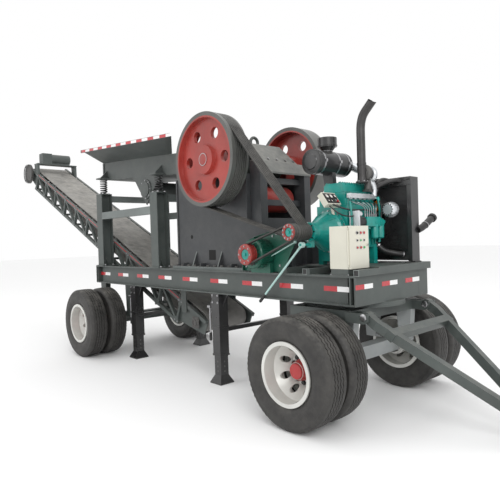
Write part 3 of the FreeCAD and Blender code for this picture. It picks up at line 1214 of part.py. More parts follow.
# ---- control box, generator and lever --------------------------------------------------------------------------------
def control_box():
    """An empty box, open at the front, with hinge knuckles on its near edge."""
    near = BOX_NEAR_Y
    far = BOX_NEAR_Y + BOX_WIDTH
    top = BOX_Z + BOX_HEIGHT
    shell = box(BOX_X, BOX_X + BOX_DEPTH, near, far, BOX_Z, top)
    hollow = box(BOX_X + BOX_WALL, BOX_X + BOX_DEPTH + 1.0, near + BOX_WALL, far - BOX_WALL,
                 BOX_Z + BOX_WALL, top - BOX_WALL)
    pin = rod((hinge_x, hinge_y, BOX_Z + 20.0), (hinge_x, hinge_y, top - 20.0), BOX_HINGE_D / 2)
    ears = [box(hinge_x - BOX_HINGE_D / 2 - 2.0, hinge_x, hinge_y, near + BOX_WALL, z, z + 10.0)
            for z in (BOX_Z + 20.0, top - 30.0)]
    knuckles = [rod((hinge_x, hinge_y, z), (hinge_x, hinge_y, z + 10.0), BOX_HINGE_D)
                for z in (BOX_Z + 20.0, top - 30.0)]
    return fuse([shell.cut(hollow), pin] + ears + knuckles)


def box_door():
    """The box's door with its hinge sleeve and lock."""
    near = BOX_NEAR_Y
    far = BOX_NEAR_Y + BOX_WIDTH
    top = BOX_Z + BOX_HEIGHT
    face_x = BOX_X + BOX_DEPTH + BOX_DOOR_GAP
    leaf = box(face_x, face_x + BOX_DOOR_T, near + 6.0, far, BOX_Z, top)
    sleeve = rod((hinge_x, hinge_y, BOX_Z + 40.0), (hinge_x, hinge_y, top - 40.0), BOX_HINGE_D)
    web = box(hinge_x, face_x + 6.0, hinge_y, near + 8.0, BOX_Z + 40.0, top - 40.0)
    lock = rod((face_x, far - 26.0, BOX_Z + BOX_HEIGHT * 0.55),
               (face_x + BOX_DOOR_T + 12.0, far - 26.0, BOX_Z + BOX_HEIGHT * 0.55), 22.0)
    bore = rod((hinge_x, hinge_y, BOX_Z), (hinge_x, hinge_y, top), BOX_HINGE_D / 2 + 2 * HUB_BORE_CLEARANCE)
    return fuse([leaf, sleeve, web, lock]).cut(bore)


hinge_x = BOX_X + BOX_DEPTH + BOX_HINGE_D / 2
hinge_y = BOX_NEAR_Y - BOX_HINGE_D / 2


def generator():
    """The generator's round body on two feet, bored for the pulley's shaft."""
    body = rod((GEN_X, GEN_BODY_REAR_Y, GEN_Z), (GEN_X, GEN_BODY_FRONT_Y, GEN_Z), GEN_BODY_D)
    feet = [box(GEN_X - 150.0, GEN_X + 150.0, y, y + 50.0, BEAM_TOP, GEN_Z - 100.0)
            for y in (GUARD_Y - 10.0 - 50.0, GEN_BODY_FRONT_Y - 50.0)]
    junction = box(GEN_X - 80.0, GEN_X + 80.0, GUARD_Y + GUARD_T + 4.0, GEN_BODY_FRONT_Y,
                   GEN_Z + 120.0, GEN_Z + 215.0)
    bore = rod((GEN_X, GEN_BODY_REAR_Y, GEN_Z), (GEN_X, GEN_BODY_REAR_Y + 45.0, GEN_Z),
               GEN_SHAFT_D + 2 * HUB_BORE_CLEARANCE)
    return fuse([body, junction] + feet).cut(bore)


def clutch_lever():
    """The long hand lever that works the clutch, on a boss under the pulley's neck."""
    boss = rod((LEVER_X, LEVER_Y - 20.0, LEVER_Z), (LEVER_X, LEVER_Y + 20.0, LEVER_Z), 60.0)
    drop = math.radians(LEVER_ANGLE)
    end = (LEVER_X - LEVER_LENGTH * math.cos(drop), LEVER_Y, LEVER_Z - LEVER_LENGTH * math.sin(drop))
    bar = rod((LEVER_X, LEVER_Y, LEVER_Z), end, LEVER_D)
    bore = rod((LEVER_X, LEVER_Y - 30.0, LEVER_Z), (LEVER_X, LEVER_Y + 30.0, LEVER_Z),
               LEVER_PIN_D + 2 * HUB_BORE_CLEARANCE)
    return fuse([boss, bar]).cut(bore)


def side_parts():
    keep("control_box", [control_box()])
    keep("control_box_door", [box_door()])
    keep("generator", [generator()])
    keep("clutch_lever", [clutch_lever()])


# ---- conveyor ------------------------------------------------------------------------------------------------------------
def belt_top_z(x):
    return CONVEYOR_REF_Z + (CONVEYOR_REF_X - x) * math.tan(slope)


belt_drop = CONVEYOR_DRUM_D / 2 + CONVEYOR_BELT_T
drum_z = {x: belt_top_z(x) - belt_drop / math.cos(slope) for x in (CONVEYOR_TAIL_X, CONVEYOR_HEAD_X)}


def along(distance, below):
    """A point in the conveyor's plane: a distance from the tail drum, square below the belt."""
    x = CONVEYOR_TAIL_X - distance * math.cos(slope) - (below - belt_drop) * math.sin(slope)
    z = drum_z[CONVEYOR_TAIL_X] + distance * math.sin(slope) - (below - belt_drop) * math.cos(slope)
    return x, z


conveyor_length = math.hypot(CONVEYOR_HEAD_X - CONVEYOR_TAIL_X,
                             drum_z[CONVEYOR_HEAD_X] - drum_z[CONVEYOR_TAIL_X])


def bar_xz(a, b, width, y0, y1):
    """A straight flat-sided bar between two points of the X-Z plane."""
    run = math.hypot(b[0] - a[0], b[1] - a[1])
    nx = -(b[1] - a[1]) / run * width / 2
    nz = (b[0] - a[0]) / run * width / 2
    return plate_xz([(a[0] + nx, a[1] + nz), (b[0] + nx, b[1] + nz), (b[0] - nx, b[1] - nz),
                     (a[0] - nx, a[1] - nz)], y0, y1)


def conveyor_side(side):
    """One trussed side: two chords, uprights and diagonals, with plates at both ends."""
    y0 = side * CONVEYOR_SIDE_Y
    y1 = side * (CONVEYOR_SIDE_Y + CONVEYOR_CHORD)
    high = CHORD_DROP
    low = CONVEYOR_DEPTH
    start = -TAIL_OVERHANG
    end = conveyor_length + HEAD_OVERHANG
    first = TRUSS_START
    last = conveyor_length - TRUSS_END
    step = (last - first) / CONVEYOR_PANELS
    pieces = [bar_xz(along(start, high), along(end, high), CONVEYOR_CHORD, y0, y1),
              bar_xz(along(first, low), along(last, low), CONVEYOR_CHORD, y0, y1)]
    for index in range(CONVEYOR_PANELS + 1):
        place = first + index * step
        pieces.append(bar_xz(along(place, high), along(place, low), CONVEYOR_CHORD * 0.8, y0, y1))
        if index < CONVEYOR_PANELS:
            pieces.append(bar_xz(along(place, low), along(place + step, high), CONVEYOR_CHORD * 0.8, y0, y1))
    plate_drop = belt_drop + CONVEYOR_DRUM_D * 0.35
    for a, b in ((start, first + 40.0), (last - 40.0, end)):
        corners = [along(a, high), along(b, high), along(b, low), along(a, plate_drop)]
        if a > first:
            corners = [along(a, high), along(b, high), along(b, plate_drop), along(a, low)]
        pieces.append(plate_xz(corners, y0, y0 + side * 12.0))
    body = fuse(pieces)
    for x, z in drum_z.items():
        body = body.cut(rod((x, y0 - side * 5.0, z), (x, y1 + side * 5.0, z),
                            CONVEYOR_SHAFT_D + 2 * HUB_BORE_CLEARANCE))
    return body


def conveyor_belt():
    """The belt's closed loop around the two drums."""
    tail = (CONVEYOR_TAIL_X, drum_z[CONVEYOR_TAIL_X])
    head = (CONVEYOR_HEAD_X, drum_z[CONVEYOR_HEAD_X])
    half = CONVEYOR_BELT_HALF
    loops = []
    for radius in (CONVEYOR_DRUM_D / 2 + CONVEYOR_BELT_T, CONVEYOR_DRUM_D / 2 + DRUM_GAP):
        nx = math.sin(slope) * radius
        nz = math.cos(slope) * radius
        tail_out = V(tail[0] + math.cos(slope) * radius, -half, tail[1] - math.sin(slope) * radius)
        head_out = V(head[0] - math.cos(slope) * radius, -half, head[1] + math.sin(slope) * radius)
        tail_top = V(tail[0] + nx, -half, tail[1] + nz)
        tail_low = V(tail[0] - nx, -half, tail[1] - nz)
        head_top = V(head[0] + nx, -half, head[1] + nz)
        head_low = V(head[0] - nx, -half, head[1] - nz)
        wire = Part.Wire([Part.LineSegment(tail_top, head_top).toShape(),
                          Part.Arc(head_top, head_out, head_low).toShape(),
                          Part.LineSegment(head_low, tail_low).toShape(),
                          Part.Arc(tail_low, tail_out, tail_top).toShape()])
        loops.append(Part.Face(wire).extrude(V(0, 2 * half, 0)))
    return loops[0].cut(loops[1])


def drum(x, extra):
    """A conveyor drum on its shaft.  The head's shaft carries a drive wheel outside."""
    z = drum_z[x]
    half = CONVEYOR_BELT_HALF + 15.0
    end = CONVEYOR_SIDE_Y + CONVEYOR_CHORD + 30.0
    pieces = [rod((x, -half, z), (x, half, z), CONVEYOR_DRUM_D),
              rod((x, -end - extra, z), (x, end, z), CONVEYOR_SHAFT_D)]
    if extra:
        pieces.append(rod((x, -end - extra, z), (x, -end - extra + 46.0, z), HEAD_WHEEL_D))
    return fuse(pieces)


def conveyor_ties():
    """Cross tubes between the two sides, the carrying rollers and the props to the chassis."""
    pieces = []
    y = CONVEYOR_SIDE_Y
    first = TRUSS_START
    last = conveyor_length - TRUSS_END
    step = (last - first) / CONVEYOR_PANELS
    for index in range(CONVEYOR_PANELS + 1):
        place = first + index * step
        a = along(place, CONVEYOR_DEPTH)
        pieces.append(bar_xz((a[0] - 20.0, a[1]), (a[0] + 20.0, a[1]), 40.0, -y, y))
    return pieces


def rollers():
    """Carrying rollers just under the belt's upper run."""
    pieces = []
    y = CONVEYOR_SIDE_Y
    count = CONVEYOR_ROLLERS
    for index in range(count):
        place = 380.0 + index * (conveyor_length - 760.0) / (count - 1)
        x, z = along(place, CONVEYOR_BELT_T + ROLLER_D / 2 + 0.3)
        pieces.append(rod((x, -y, z), (x, y, z), ROLLER_D))
    return pieces


def conveyor_props():
    """Props from the rear end beam and hangers from a cross member to the conveyor's sides."""
    pieces = []
    for side in (NEAR, FAR):
        y0 = side * CONVEYOR_SIDE_Y
        y1 = side * (CONVEYOR_SIDE_Y + CONVEYOR_CHORD)
        reach = (CONVEYOR_TAIL_X - rear_beam_x) / math.cos(slope)
        top = along(reach, CONVEYOR_DEPTH)[1] + 70.0
        prop = box(rear_beam_x - 30.0, rear_beam_x + 30.0, y1, y1 + side * 12.0, BEAM_TOP, top)
        foot = box(rear_beam_x - 45.0, rear_beam_x + 45.0, y1, y1 + side * 26.0, BEAM_TOP, BEAM_TOP + 10.0)
        pieces.append(fuse([prop, foot]))
        x = min(CROSS_MEMBER_X)
        low = belt_top_z(x) - 150.0
        pieces.append(box(x - 60.0, x + 60.0, y1, y1 + side * 12.0, low, BEAM_BOTTOM))
    return pieces


def conveyor_motor():
    """The geared drum motor on a bracket over the conveyor's head."""
    at = along(conveyor_length - 330.0, 0.0)
    y0 = CONVEYOR_SIDE_Y
    y1 = CONVEYOR_SIDE_Y + CONVEYOR_CHORD
    arm = [along(conveyor_length - 420.0, CHORD_DROP - 26.0), along(conveyor_length - 240.0, CHORD_DROP - 26.0),
           (at[0] - 110.0, at[1] + 190.0), (at[0] + 70.0, at[1] + 190.0)]
    sides = [plate_xz(arm, side * y0, side * y1) for side in (NEAR, FAR)]
    shelf = box(at[0] - 120.0, at[0] + 90.0, -y1, y1, at[1] + 180.0, at[1] + 200.0)
    body = rod((at[0] - 15.0, -120.0, at[1] + 320.0), (at[0] - 15.0, 300.0, at[1] + 320.0), MOTOR_D)
    gear = box(at[0] - 120.0, at[0] + 90.0, -330.0, -119.0, at[1] + 200.0, at[1] + 430.0)
    foot = box(at[0] - 80.0, at[0] + 50.0, -100.0, 280.0, at[1] + 199.0, at[1] + 260.0)
    return fuse(sides + [shelf, body, gear, foot])


def conveyor_parts():
    keep("conveyor_sides", [conveyor_side(NEAR), conveyor_side(FAR)])
    keep("conveyor_ties", conveyor_ties() + rollers())
    keep("conveyor_props", conveyor_props())
    keep("conveyor_belt", [conveyor_belt()])
    keep("conveyor_motor", [conveyor_motor()])
    keep("conveyor_head_drum", [drum(CONVEYOR_HEAD_X, 30.0)])
    keep("conveyor_tail_drum", [drum(CONVEYOR_TAIL_X, 0.0)])


# ---- the whole plant --------------------------------------------------------------------------------------------------------
def build():
    chassis_parts()
    wheel_parts()
    dolly_parts()
    drawbar_parts()
    leg_parts()
    stand_parts()
    feeder_parts()
    crusher_parts()
    flywheel_parts()
    belt_parts()
    engine_parts()
    side_parts()
    conveyor_parts()


build()
whole = Part.makeCompound(list(nodes.values())).BoundBox
origin_x = (whole.XMin + whole.XMax) / 2
print("origin x %.3f  y span %.1f %.1f  z low %.3f" % (origin_x, whole.YMin, whole.YMax, whole.ZMin))
os.makedirs("parts", exist_ok=True)
for name, shape in nodes.items():
    if not shape.isValid():
        print("not valid:", name)
    shape.translate(V(-origin_x, 0, 0))
    shape.exportStep("parts/%s.step" % name)
    print("%-20s %2d solids  %.4f m3" % (name, len(shape.Solids), shape.Volume / 1e9))
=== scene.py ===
# %% [markdown]
# # The looks of a mobile jaw crushing plant
# The construction comes from CAD as a fixed frame: beams, wheels, crusher, engine and conveyor, each in
# its place. This lesson gives that frame its finishes and adds the small things that a drawing leaves
# out, such as tyre treads, coil springs, bolts, hoses, gauges and reflective tape. Nothing of the frame
# is moved. Every length is in metres.

import json
import math

import bmesh
import bpy
from mathutils import Matrix, Vector


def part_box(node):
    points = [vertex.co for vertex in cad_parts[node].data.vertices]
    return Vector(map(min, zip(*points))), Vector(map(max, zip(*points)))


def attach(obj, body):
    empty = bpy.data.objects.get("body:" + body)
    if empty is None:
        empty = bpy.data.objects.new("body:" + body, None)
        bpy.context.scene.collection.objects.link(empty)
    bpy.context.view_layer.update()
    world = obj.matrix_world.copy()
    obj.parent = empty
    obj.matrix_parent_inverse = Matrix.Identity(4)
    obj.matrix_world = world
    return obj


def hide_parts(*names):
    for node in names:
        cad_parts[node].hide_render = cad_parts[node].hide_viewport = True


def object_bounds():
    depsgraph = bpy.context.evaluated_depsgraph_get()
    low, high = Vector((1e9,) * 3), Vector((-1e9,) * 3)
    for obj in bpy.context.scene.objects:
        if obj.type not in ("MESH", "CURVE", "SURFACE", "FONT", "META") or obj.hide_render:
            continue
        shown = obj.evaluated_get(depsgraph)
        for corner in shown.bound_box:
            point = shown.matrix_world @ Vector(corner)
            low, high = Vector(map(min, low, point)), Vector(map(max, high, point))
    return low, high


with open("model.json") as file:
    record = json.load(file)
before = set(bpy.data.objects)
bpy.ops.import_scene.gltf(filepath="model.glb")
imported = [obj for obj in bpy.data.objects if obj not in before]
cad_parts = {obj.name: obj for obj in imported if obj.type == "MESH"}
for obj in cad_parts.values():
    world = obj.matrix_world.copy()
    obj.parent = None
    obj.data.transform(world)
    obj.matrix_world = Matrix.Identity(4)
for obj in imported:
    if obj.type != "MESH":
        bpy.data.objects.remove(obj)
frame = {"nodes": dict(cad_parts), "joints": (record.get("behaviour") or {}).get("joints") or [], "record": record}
cad_low, cad_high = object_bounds()

# %% [markdown]
# A machine drawing gives its places from one datum. Here that datum is the king pin, about which the
# front dolly steers, and the drawing is in millimetres. One short function turns a place on the drawing
# into a place in the frame, which every piece starts from. The shafts that several pieces share have names.

# %% Places on the drawing
pivots = {joint["name"]: Vector(joint["pos_m"]) for joint in frame["joints"] if "pos_m" in joint}
king_x = pivots["dolly_steer"].x


def place(x, y, z):
    """A place in the frame from millimetres on the drawing."""
    return Vector((king_x + x / 1000, y / 1000, z / 1000))


SHAFT_X, SHAFT_Z = -1600, 2730          # flywheel shaft
CLUTCH_X, CLUTCH_Z = -200, 1820         # clutch shaft
FILTER_X, FILTER_Z = -330, 2570         # air filter
print("king pin at x", round(king_x, 3))

# %% [markdown]
# Most small parts of a machine are blocks, round bars, turned shapes and bent pipes. These helpers add
# one such shape to a mesh in the making, called a draft, and note which finish its faces take. A bent
# pipe is swept along its route with a frame that is carried from point to point, so that it never
# twists, and its corners are rounded first by cutting them a few times.

# %% Shapes that a draft is made of
X = Vector((1, 0, 0))
Y = Vector((0, 1, 0))
Z = Vector((0, 0, 1))


def across(axis):
    """Two directions square to an axis and to each other."""
    axis = axis.normalized()
    helper = X if abs(axis.x) < 0.9 else Y
    first = axis.cross(helper).normalized()
    return first, axis.cross(first)


def faces_from(draft, rings, closed_ring, paint, caps=True):
    """Skins a list of rings of points; each ring has as many points as the next."""
    rows = [[draft.verts.new(point) for point in ring] for ring in rings]
    count = len(rows[0])
    spans = count if closed_ring else count - 1
    for low_row, high_row in zip(rows, rows[1:]):
        for i in range(spans):
            j = (i + 1) % count
            draft.faces.new((low_row[i], low_row[j], high_row[j], high_row[i])).material_index = paint
    if caps:
        draft.faces.new(list(reversed(rows[0]))).material_index = paint
        draft.faces.new(rows[-1]).material_index = paint
    return rows


def block(draft, low, high, paint=0, turn=None):
    """A block between two corners, turned about its own middle if a rotation is given."""
    low, high = Vector(low), Vector(high)
    size = high - low
    centre = (low + high) / 2
    shape = Matrix.Translation(centre) @ (turn.to_4x4() if turn else Matrix.Identity(4))
    made = bmesh.ops.create_cube(draft, size=1.0, matrix=shape @ Matrix.Diagonal((*size, 1)))
    for face in {face for vert in made["verts"] for face in vert.link_faces}:
        face.material_index = paint


def rod(draft, start, end, radius, paint=0, sides=20, end_radius=None):
    """A round bar or a cone between two points."""
    start, end = Vector(start), Vector(end)
    a, b = across(end - start)
    rings = []
    for centre, r in ((start, radius), (end, radius if end_radius is None else end_radius)):
        rings.append([centre + (a * math.cos(t) + b * math.sin(t)) * r
                      for t in (2 * math.pi * i / sides for i in range(sides))])
    faces_from(draft, rings, True, paint)


def turned(draft, centre, axis, profile, paint=0, sides=48):
    """A body turned about an axis. The profile holds (radius, distance along the axis) pairs, and one
    that stays clear of the axis closes on itself as a ring."""
    hollow = min(profile[0][0], profile[-1][0]) > 0.001
    centre, axis = Vector(centre), Vector(axis).normalized()
    a, b = across(axis)
    rings = []
    for radius, along in list(profile) + list(profile[:1] if hollow else []):
        middle_point = centre + axis * along
        rings.append([middle_point + (a * math.cos(t) + b * math.sin(t)) * max(radius, 0.0002)
                      for t in (2 * math.pi * i / sides for i in range(sides))])
    faces_from(draft, rings, True, paint, caps=not hollow)


def rounded(points, rounds=3, share=0.25):
    """The same route with its corners cut again and again, until it reads as a bend."""
    points = [Vector(point) for point in points]
    for _ in range(rounds):
        cut = [points[0]]
        for a, b in zip(points, points[1:]):
            cut += [a.lerp(b, share), a.lerp(b, 1 - share)]
        points = cut + [points[-1]]
    return points


def pipe(draft, points, radius, paint=0, sides=10, rounds=3):
    """A pipe or hose along a route."""
    route = rounded(points, rounds) if len(points) > 2 else [Vector(point) for point in points]
    direction = (route[1] - route[0]).normalized()
    a, b = across(direction)
    rings = []
    for index, point in enumerate(route):
        before = route[max(index - 1, 0)]
        after = route[min(index + 1, len(route) - 1)]
        tangent = (after - before).normalized()
        swing = direction.rotation_difference(tangent)
        a, b = swing @ a, swing @ b
        direction = tangent
        rings.append([point + (a * math.cos(t) + b * math.sin(t)) * radius
                      for t in (2 * math.pi * i / sides for i in range(sides))])
    faces_from(draft, rings, True, paint)


def plate(draft, outline, push, paint=0):
    """A flat plate: an outline of points, pushed along a direction."""
    outline = [Vector(point) for point in outline]
    push = Vector(push)
    faces_from(draft, [outline, [point + push for point in outline]], True, paint)


print("helpers ready")

# %% [markdown]
# A draft becomes a piece when it gets a name, its finishes and the body that it rides on. Edges sharper than about
# 35 degrees stay crisp, and a small bevel catches the light as a rolled or cast edge does.

# %% From a draft to a piece
def piece(name, draft, finishes, body, bevel=0.0, merge=True, stands_for=()):
    if merge:
        bmesh.ops.remove_doubles(draft, verts=draft.verts, dist=1e-6)
    bmesh.ops.recalc_face_normals(draft, faces=draft.faces)
    mesh = bpy.data.meshes.new(name)
    draft.to_mesh(mesh)
    draft.free()
    made = bpy.data.objects.new(name, mesh)
    return dress(made, finishes, body, bevel, stands_for)


def dress(made, finishes, body, bevel=0.0, stands_for=()):
    """Gives an object its finishes, shading and body."""
    mesh = made.data
    for one in finishes or ():
        mesh.materials.append(one)
    mesh.polygons.foreach_set("use_smooth", [True] * len(mesh.polygons))
    mesh.set_sharp_from_angle(angle=math.radians(35))
    bpy.context.scene.collection.objects.link(made)
    if bevel:
        soft = made.modifiers.new("soft edges", "BEVEL")
        soft.width = bevel
        soft.segments = 2
        soft.limit_method = "ANGLE"
        soft.angle_limit = math.radians(40)
        soft.harden_normals = False
    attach(made, body)
    if stands_for:
        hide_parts(*stands_for)
    mesh.calc_loop_triangles()
    print(f"{made.name:26s} {len(mesh.loop_triangles):7d} triangles on {body}")
    return made

# %% [markdown]
# ## Finishes
# Paint on a machine is never one flat colour. It varies slowly over a plate, it lies a little uneven
# like the skin of an orange, dust settles on what faces up, and it wears at the edges. Each of these is
# a node group that is built once and placed in every material with its own numbers. All of them read
# Object coordinates, because every piece sits at the origin with its place in its mesh.

# %% Node helpers
def node(tree, kind, settings=None, **inputs):
    """A node with its settings and input values; an input may be a socket to wire from."""
    made = tree.nodes.new(kind)
    for key, value in (settings or {}).items():
        setattr(made, key, value)
    for key, value in inputs.items():
        socket = made.inputs[int(key[1:])] if key[0] == "i" and key[1:].isdigit() else \
            made.inputs[key.replace("_", " ")]
        if isinstance(value, bpy.types.NodeSocket):
            tree.links.new(value, socket)
        else:
            socket.default_value = value
    return made


def group(name, inputs, outputs, kind="ShaderNodeTree"):
    """An empty node group with named sockets, its input node and its output node."""
    tree = bpy.data.node_groups.new(name, kind)
    for label, socket_kind, value in inputs:
        socket = tree.interface.new_socket(label, in_out="INPUT", socket_type=socket_kind)
        if value is not None:
            socket.default_value = value
    for label, socket_kind in outputs:
        tree.interface.new_socket(label, in_out="OUTPUT", socket_type=socket_kind)
    return tree, tree.nodes.new("NodeGroupInput"), tree.nodes.new("NodeGroupOutput")


FLOAT, VECTOR = "NodeSocketFloat", "NodeSocketVector"


def mask_over(tree, value, low, high, top=1.0):
    """A value stretched so that low gives nothing and high gives the most."""
    spread = node(tree, "ShaderNodeMapRange", {"clamp": True}, Value=value, From_Min=low, From_Max=high,
                  To_Max=top)
    return spread.outputs["Result"]


def math_of(tree, operation, first, second=0.5):
    return node(tree, "ShaderNodeMath", {"operation": operation}, i0=first, i1=second).outputs["Value"]


def blended(tree, amount, first, second):
    """Two colours mixed by an amount."""
    mixed = node(tree, "ShaderNodeMix", {"data_type": "RGBA"}, Factor=amount)
    for socket, value in ((mixed.inputs[6], first), (mixed.inputs[7], second)):
        if isinstance(value, bpy.types.NodeSocket):
            tree.links.new(value, socket)
        else:
            socket.default_value = value
    return mixed.outputs[2]


print("node helpers ready")

# %% [markdown]
# The first group is cloudy variation, the second is dust that settles on upward faces and in patches,
# the third finds worn edges by comparing the true surface direction with a rounded one, and the fourth
# is the fine relief of a surface: small for paint, coarse for a casting.

# %% Groups that the materials share
def clouds_group():
    tree, given, out = group("clouds", [("Scale", FLOAT, 2.0)], [("Mask", FLOAT)])
    where = node(tree, "ShaderNodeTexCoord").outputs["Object"]
    noise = node(tree, "ShaderNodeTexNoise", Vector=where, Scale=given.outputs["Scale"], Detail=5.0,
                 Roughness=0.62)
    tree.links.new(mask_over(tree, noise.outputs["Fac"], 0.3, 0.7), out.inputs["Mask"])
    return tree


def dust_group():
    tree, given, out = group("settled dust", [("Amount", FLOAT, 0.4)], [("Mask", FLOAT)])
    coordinates = node(tree, "ShaderNodeTexCoord")
    up = node(tree, "ShaderNodeSeparateXYZ", Vector=coordinates.outputs["Normal"]).outputs["Z"]
    noise = node(tree, "ShaderNodeTexNoise", Vector=coordinates.outputs["Object"], Scale=7.0, Detail=6.0,
                 Roughness=0.7)
    patch = mask_over(tree, noise.outputs["Fac"], 0.35, 0.72)
    lying = mask_over(tree, up, 0.15, 0.95)
    film = math_of(tree, "MULTIPLY", patch, 0.22)
    whole = math_of(tree, "MAXIMUM", math_of(tree, "MULTIPLY", lying, patch), film)
    tree.links.new(math_of(tree, "MULTIPLY", whole, given.outputs["Amount"]), out.inputs["Mask"])
    return tree


def edges_group():
    tree, given, out = group("worn edges", [("Width", FLOAT, 0.006), ("Amount", FLOAT, 0.6)],
                             [("Mask", FLOAT)])
    soft = node(tree, "ShaderNodeBevel", {"samples": 4}, Radius=given.outputs["Width"])
    true = node(tree, "ShaderNodeNewGeometry")
    alike = node(tree, "ShaderNodeVectorMath", {"operation": "DOT_PRODUCT"}, i0=soft.outputs["Normal"],
                 i1=true.outputs["Normal"]).outputs["Value"]
    edge = mask_over(tree, math_of(tree, "SUBTRACT", 1.0, alike), 0.04, 0.3)
    where = node(tree, "ShaderNodeTexCoord").outputs["Object"]
    noise = node(tree, "ShaderNodeTexNoise", Vector=where, Scale=26.0, Detail=4.0)
    broken = mask_over(tree, noise.outputs["Fac"], 0.42, 0.6)
    worn = math_of(tree, "MULTIPLY", edge, broken)
    tree.links.new(math_of(tree, "MULTIPLY", worn, given.outputs["Amount"]), out.inputs["Mask"])
    return tree


def relief_group():
    tree, given, out = group("fine relief", [("Scale", FLOAT, 180.0), ("Coarse", FLOAT, 0.2)],
                             [("Height", FLOAT)])
    where = node(tree, "ShaderNodeTexCoord").outputs["Object"]
    fine = node(tree, "ShaderNodeTexNoise", Vector=where, Scale=given.outputs["Scale"], Detail=3.0)
    wide = node(tree, "ShaderNodeTexNoise", Vector=where, Scale=9.0, Detail=2.0)
    waves = math_of(tree, "MULTIPLY", wide.outputs["Fac"], given.outputs["Coarse"])
    tree.links.new(math_of(tree, "ADD", fine.outputs["Fac"], waves), out.inputs["Height"])
    return tree


def radius_group():
    """The distance from an axle that runs along Y, for finishes that follow a wheel."""
    tree, given, out = group("distance from axle", [("Axle", VECTOR, (0, 0, 0))], [("Distance", FLOAT)])
    where = node(tree, "ShaderNodeTexCoord").outputs["Object"]
    offset = node(tree, "ShaderNodeVectorMath", {"operation": "SUBTRACT"}, i0=where,
                  i1=given.outputs["Axle"]).outputs["Vector"]
    flat = node(tree, "ShaderNodeVectorMath", {"operation": "MULTIPLY"}, i0=offset).outputs["Vector"]
    flat.node.inputs[1].default_value = (1, 0, 1)
    length = node(tree, "ShaderNodeVectorMath", {"operation": "LENGTH"}, i0=flat).outputs["Value"]
    tree.links.new(length, out.inputs["Distance"])
    return tree


clouds, dust, edges, relief, axle_distance = (clouds_group(), dust_group(), edges_group(), relief_group(),
                                              radius_group())
print("groups", [tree.name for tree in (clouds, dust, edges, relief, axle_distance)])


# %% [markdown]
# One recipe makes every paint, casting and rubber: a colour that varies by the clouds, bare metal or
# primer at worn edges, dust over both, roughness that follows them, and the fine relief as bump. What
# differs from finish to finish is only the numbers.

# %% The recipe for a finish
DUST = (0.42, 0.40, 0.36, 1)
BARE = (0.30, 0.30, 0.30, 1)


def placed(tree, shared, **inputs):
    """A node group placed in a material."""
    made = tree.nodes.new("ShaderNodeGroup")
    made.node_tree = shared
    for key, value in inputs.items():
        if isinstance(value, bpy.types.NodeSocket):
            tree.links.new(value, made.inputs[key])
        else:
            made.inputs[key].default_value = value
    return made.outputs[0]


def shade_of(colour, factor):
    return (*(min(1.0, part * factor) for part in colour), 1)


def finish(name, colour, rough=0.45, metal=0.0, coat=0.0, vary=0.25, cloud=1.5, dusty=0.3, worn=0.35,
           bare=BARE, grain=220.0, coarse=0.6, bump=0.08, second=None, split=None, split_soft=0.002):
    """A material. With a second colour, it changes to that colour past a distance from an axle."""
    material = bpy.data.materials.new(name)
    material.use_nodes = True
    tree = material.node_tree
    shader = tree.nodes["Principled BSDF"]
    mask = placed(tree, clouds, Scale=cloud)
    tone = blended(tree, mask, shade_of(colour, 1 - vary), shade_of(colour, 1 + vary))
    if second:
        axle, distance = split
        away = placed(tree, axle_distance, Axle=axle)
        other = blended(tree, mask, shade_of(second, 1 - vary), shade_of(second, 1 + vary))
        tone = blended(tree, mask_over(tree, away, distance - split_soft, distance + split_soft), tone, other)
    edge = placed(tree, edges, Width=0.007, Amount=worn)
    lying = placed(tree, dust, Amount=dusty)
    tone = blended(tree, edge, tone, bare)
    tone = blended(tree, lying, tone, DUST)
    tree.links.new(tone, shader.inputs["Base Color"])
    smear = node(tree, "ShaderNodeMapRange", Value=mask, To_Min=rough * 0.82, To_Max=min(1.0, rough * 1.2))
    dulled = node(tree, "ShaderNodeMix", {"data_type": "FLOAT"}, Factor=lying, A=smear.outputs["Result"],
                  B=0.85)
    tree.links.new(dulled.outputs[0], shader.inputs["Roughness"])
    shader.inputs["Metallic"].default_value = metal
    shader.inputs["Coat Weight"].default_value = coat
    shader.inputs["Coat Roughness"].default_value = 0.12
    height = placed(tree, relief, Scale=grain, Coarse=coarse)
    lift = node(tree, "ShaderNodeBump", Strength=bump, Distance=0.004, Height=height)
    tree.links.new(lift.outputs["Normal"], shader.inputs["Normal"])
    return material


print("recipe ready")

# %% [markdown]
# The plant's colours: dark grey-green structure, a cooler grey crusher, dusty grey hopper, red
# flywheels, a teal engine, dark green generator and guard, a cream control box and black legs, filter
# and radiator.

# %% The finishes
shaft_axle = pivots["flywheel_turn"]
flywheel_radius = (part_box("flywheel_near")[1].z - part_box("flywheel_near")[0].z) / 2
frame_paint = finish("frame_paint", (0.058, 0.070, 0.066), rough=0.46, dusty=0.22, worn=0.3)
rail_paint = finish("rail_paint", (0.135, 0.155, 0.150), rough=0.5, dusty=0.3, worn=0.4)
crusher_paint = finish("crusher_paint", (0.040, 0.043, 0.047), rough=0.5, vary=0.2, dusty=0.25, bump=0.12)
hopper_paint = finish("hopper_paint", (0.064, 0.074, 0.071), rough=0.5, dusty=0.35, worn=0.4)
cover_paint = finish("cover_paint", (0.12, 0.125, 0.118), rough=0.55, dusty=0.5, worn=0.5)
red_paint = finish("red_paint", (0.27, 0.024, 0.018), rough=0.38, coat=0.25, dusty=0.2, worn=0.2)
wheel_red = finish("wheel_red", (0.29, 0.026, 0.018), rough=0.36, coat=0.2, dusty=0.2, worn=0.15,
                   second=(0.075, 0.077, 0.072), split=(shaft_axle, flywheel_radius - 0.047))
black_paint = finish("black_paint", (0.014, 0.014, 0.015), rough=0.3, coat=0.3, dusty=0.12, worn=0.2,
                     vary=0.4)
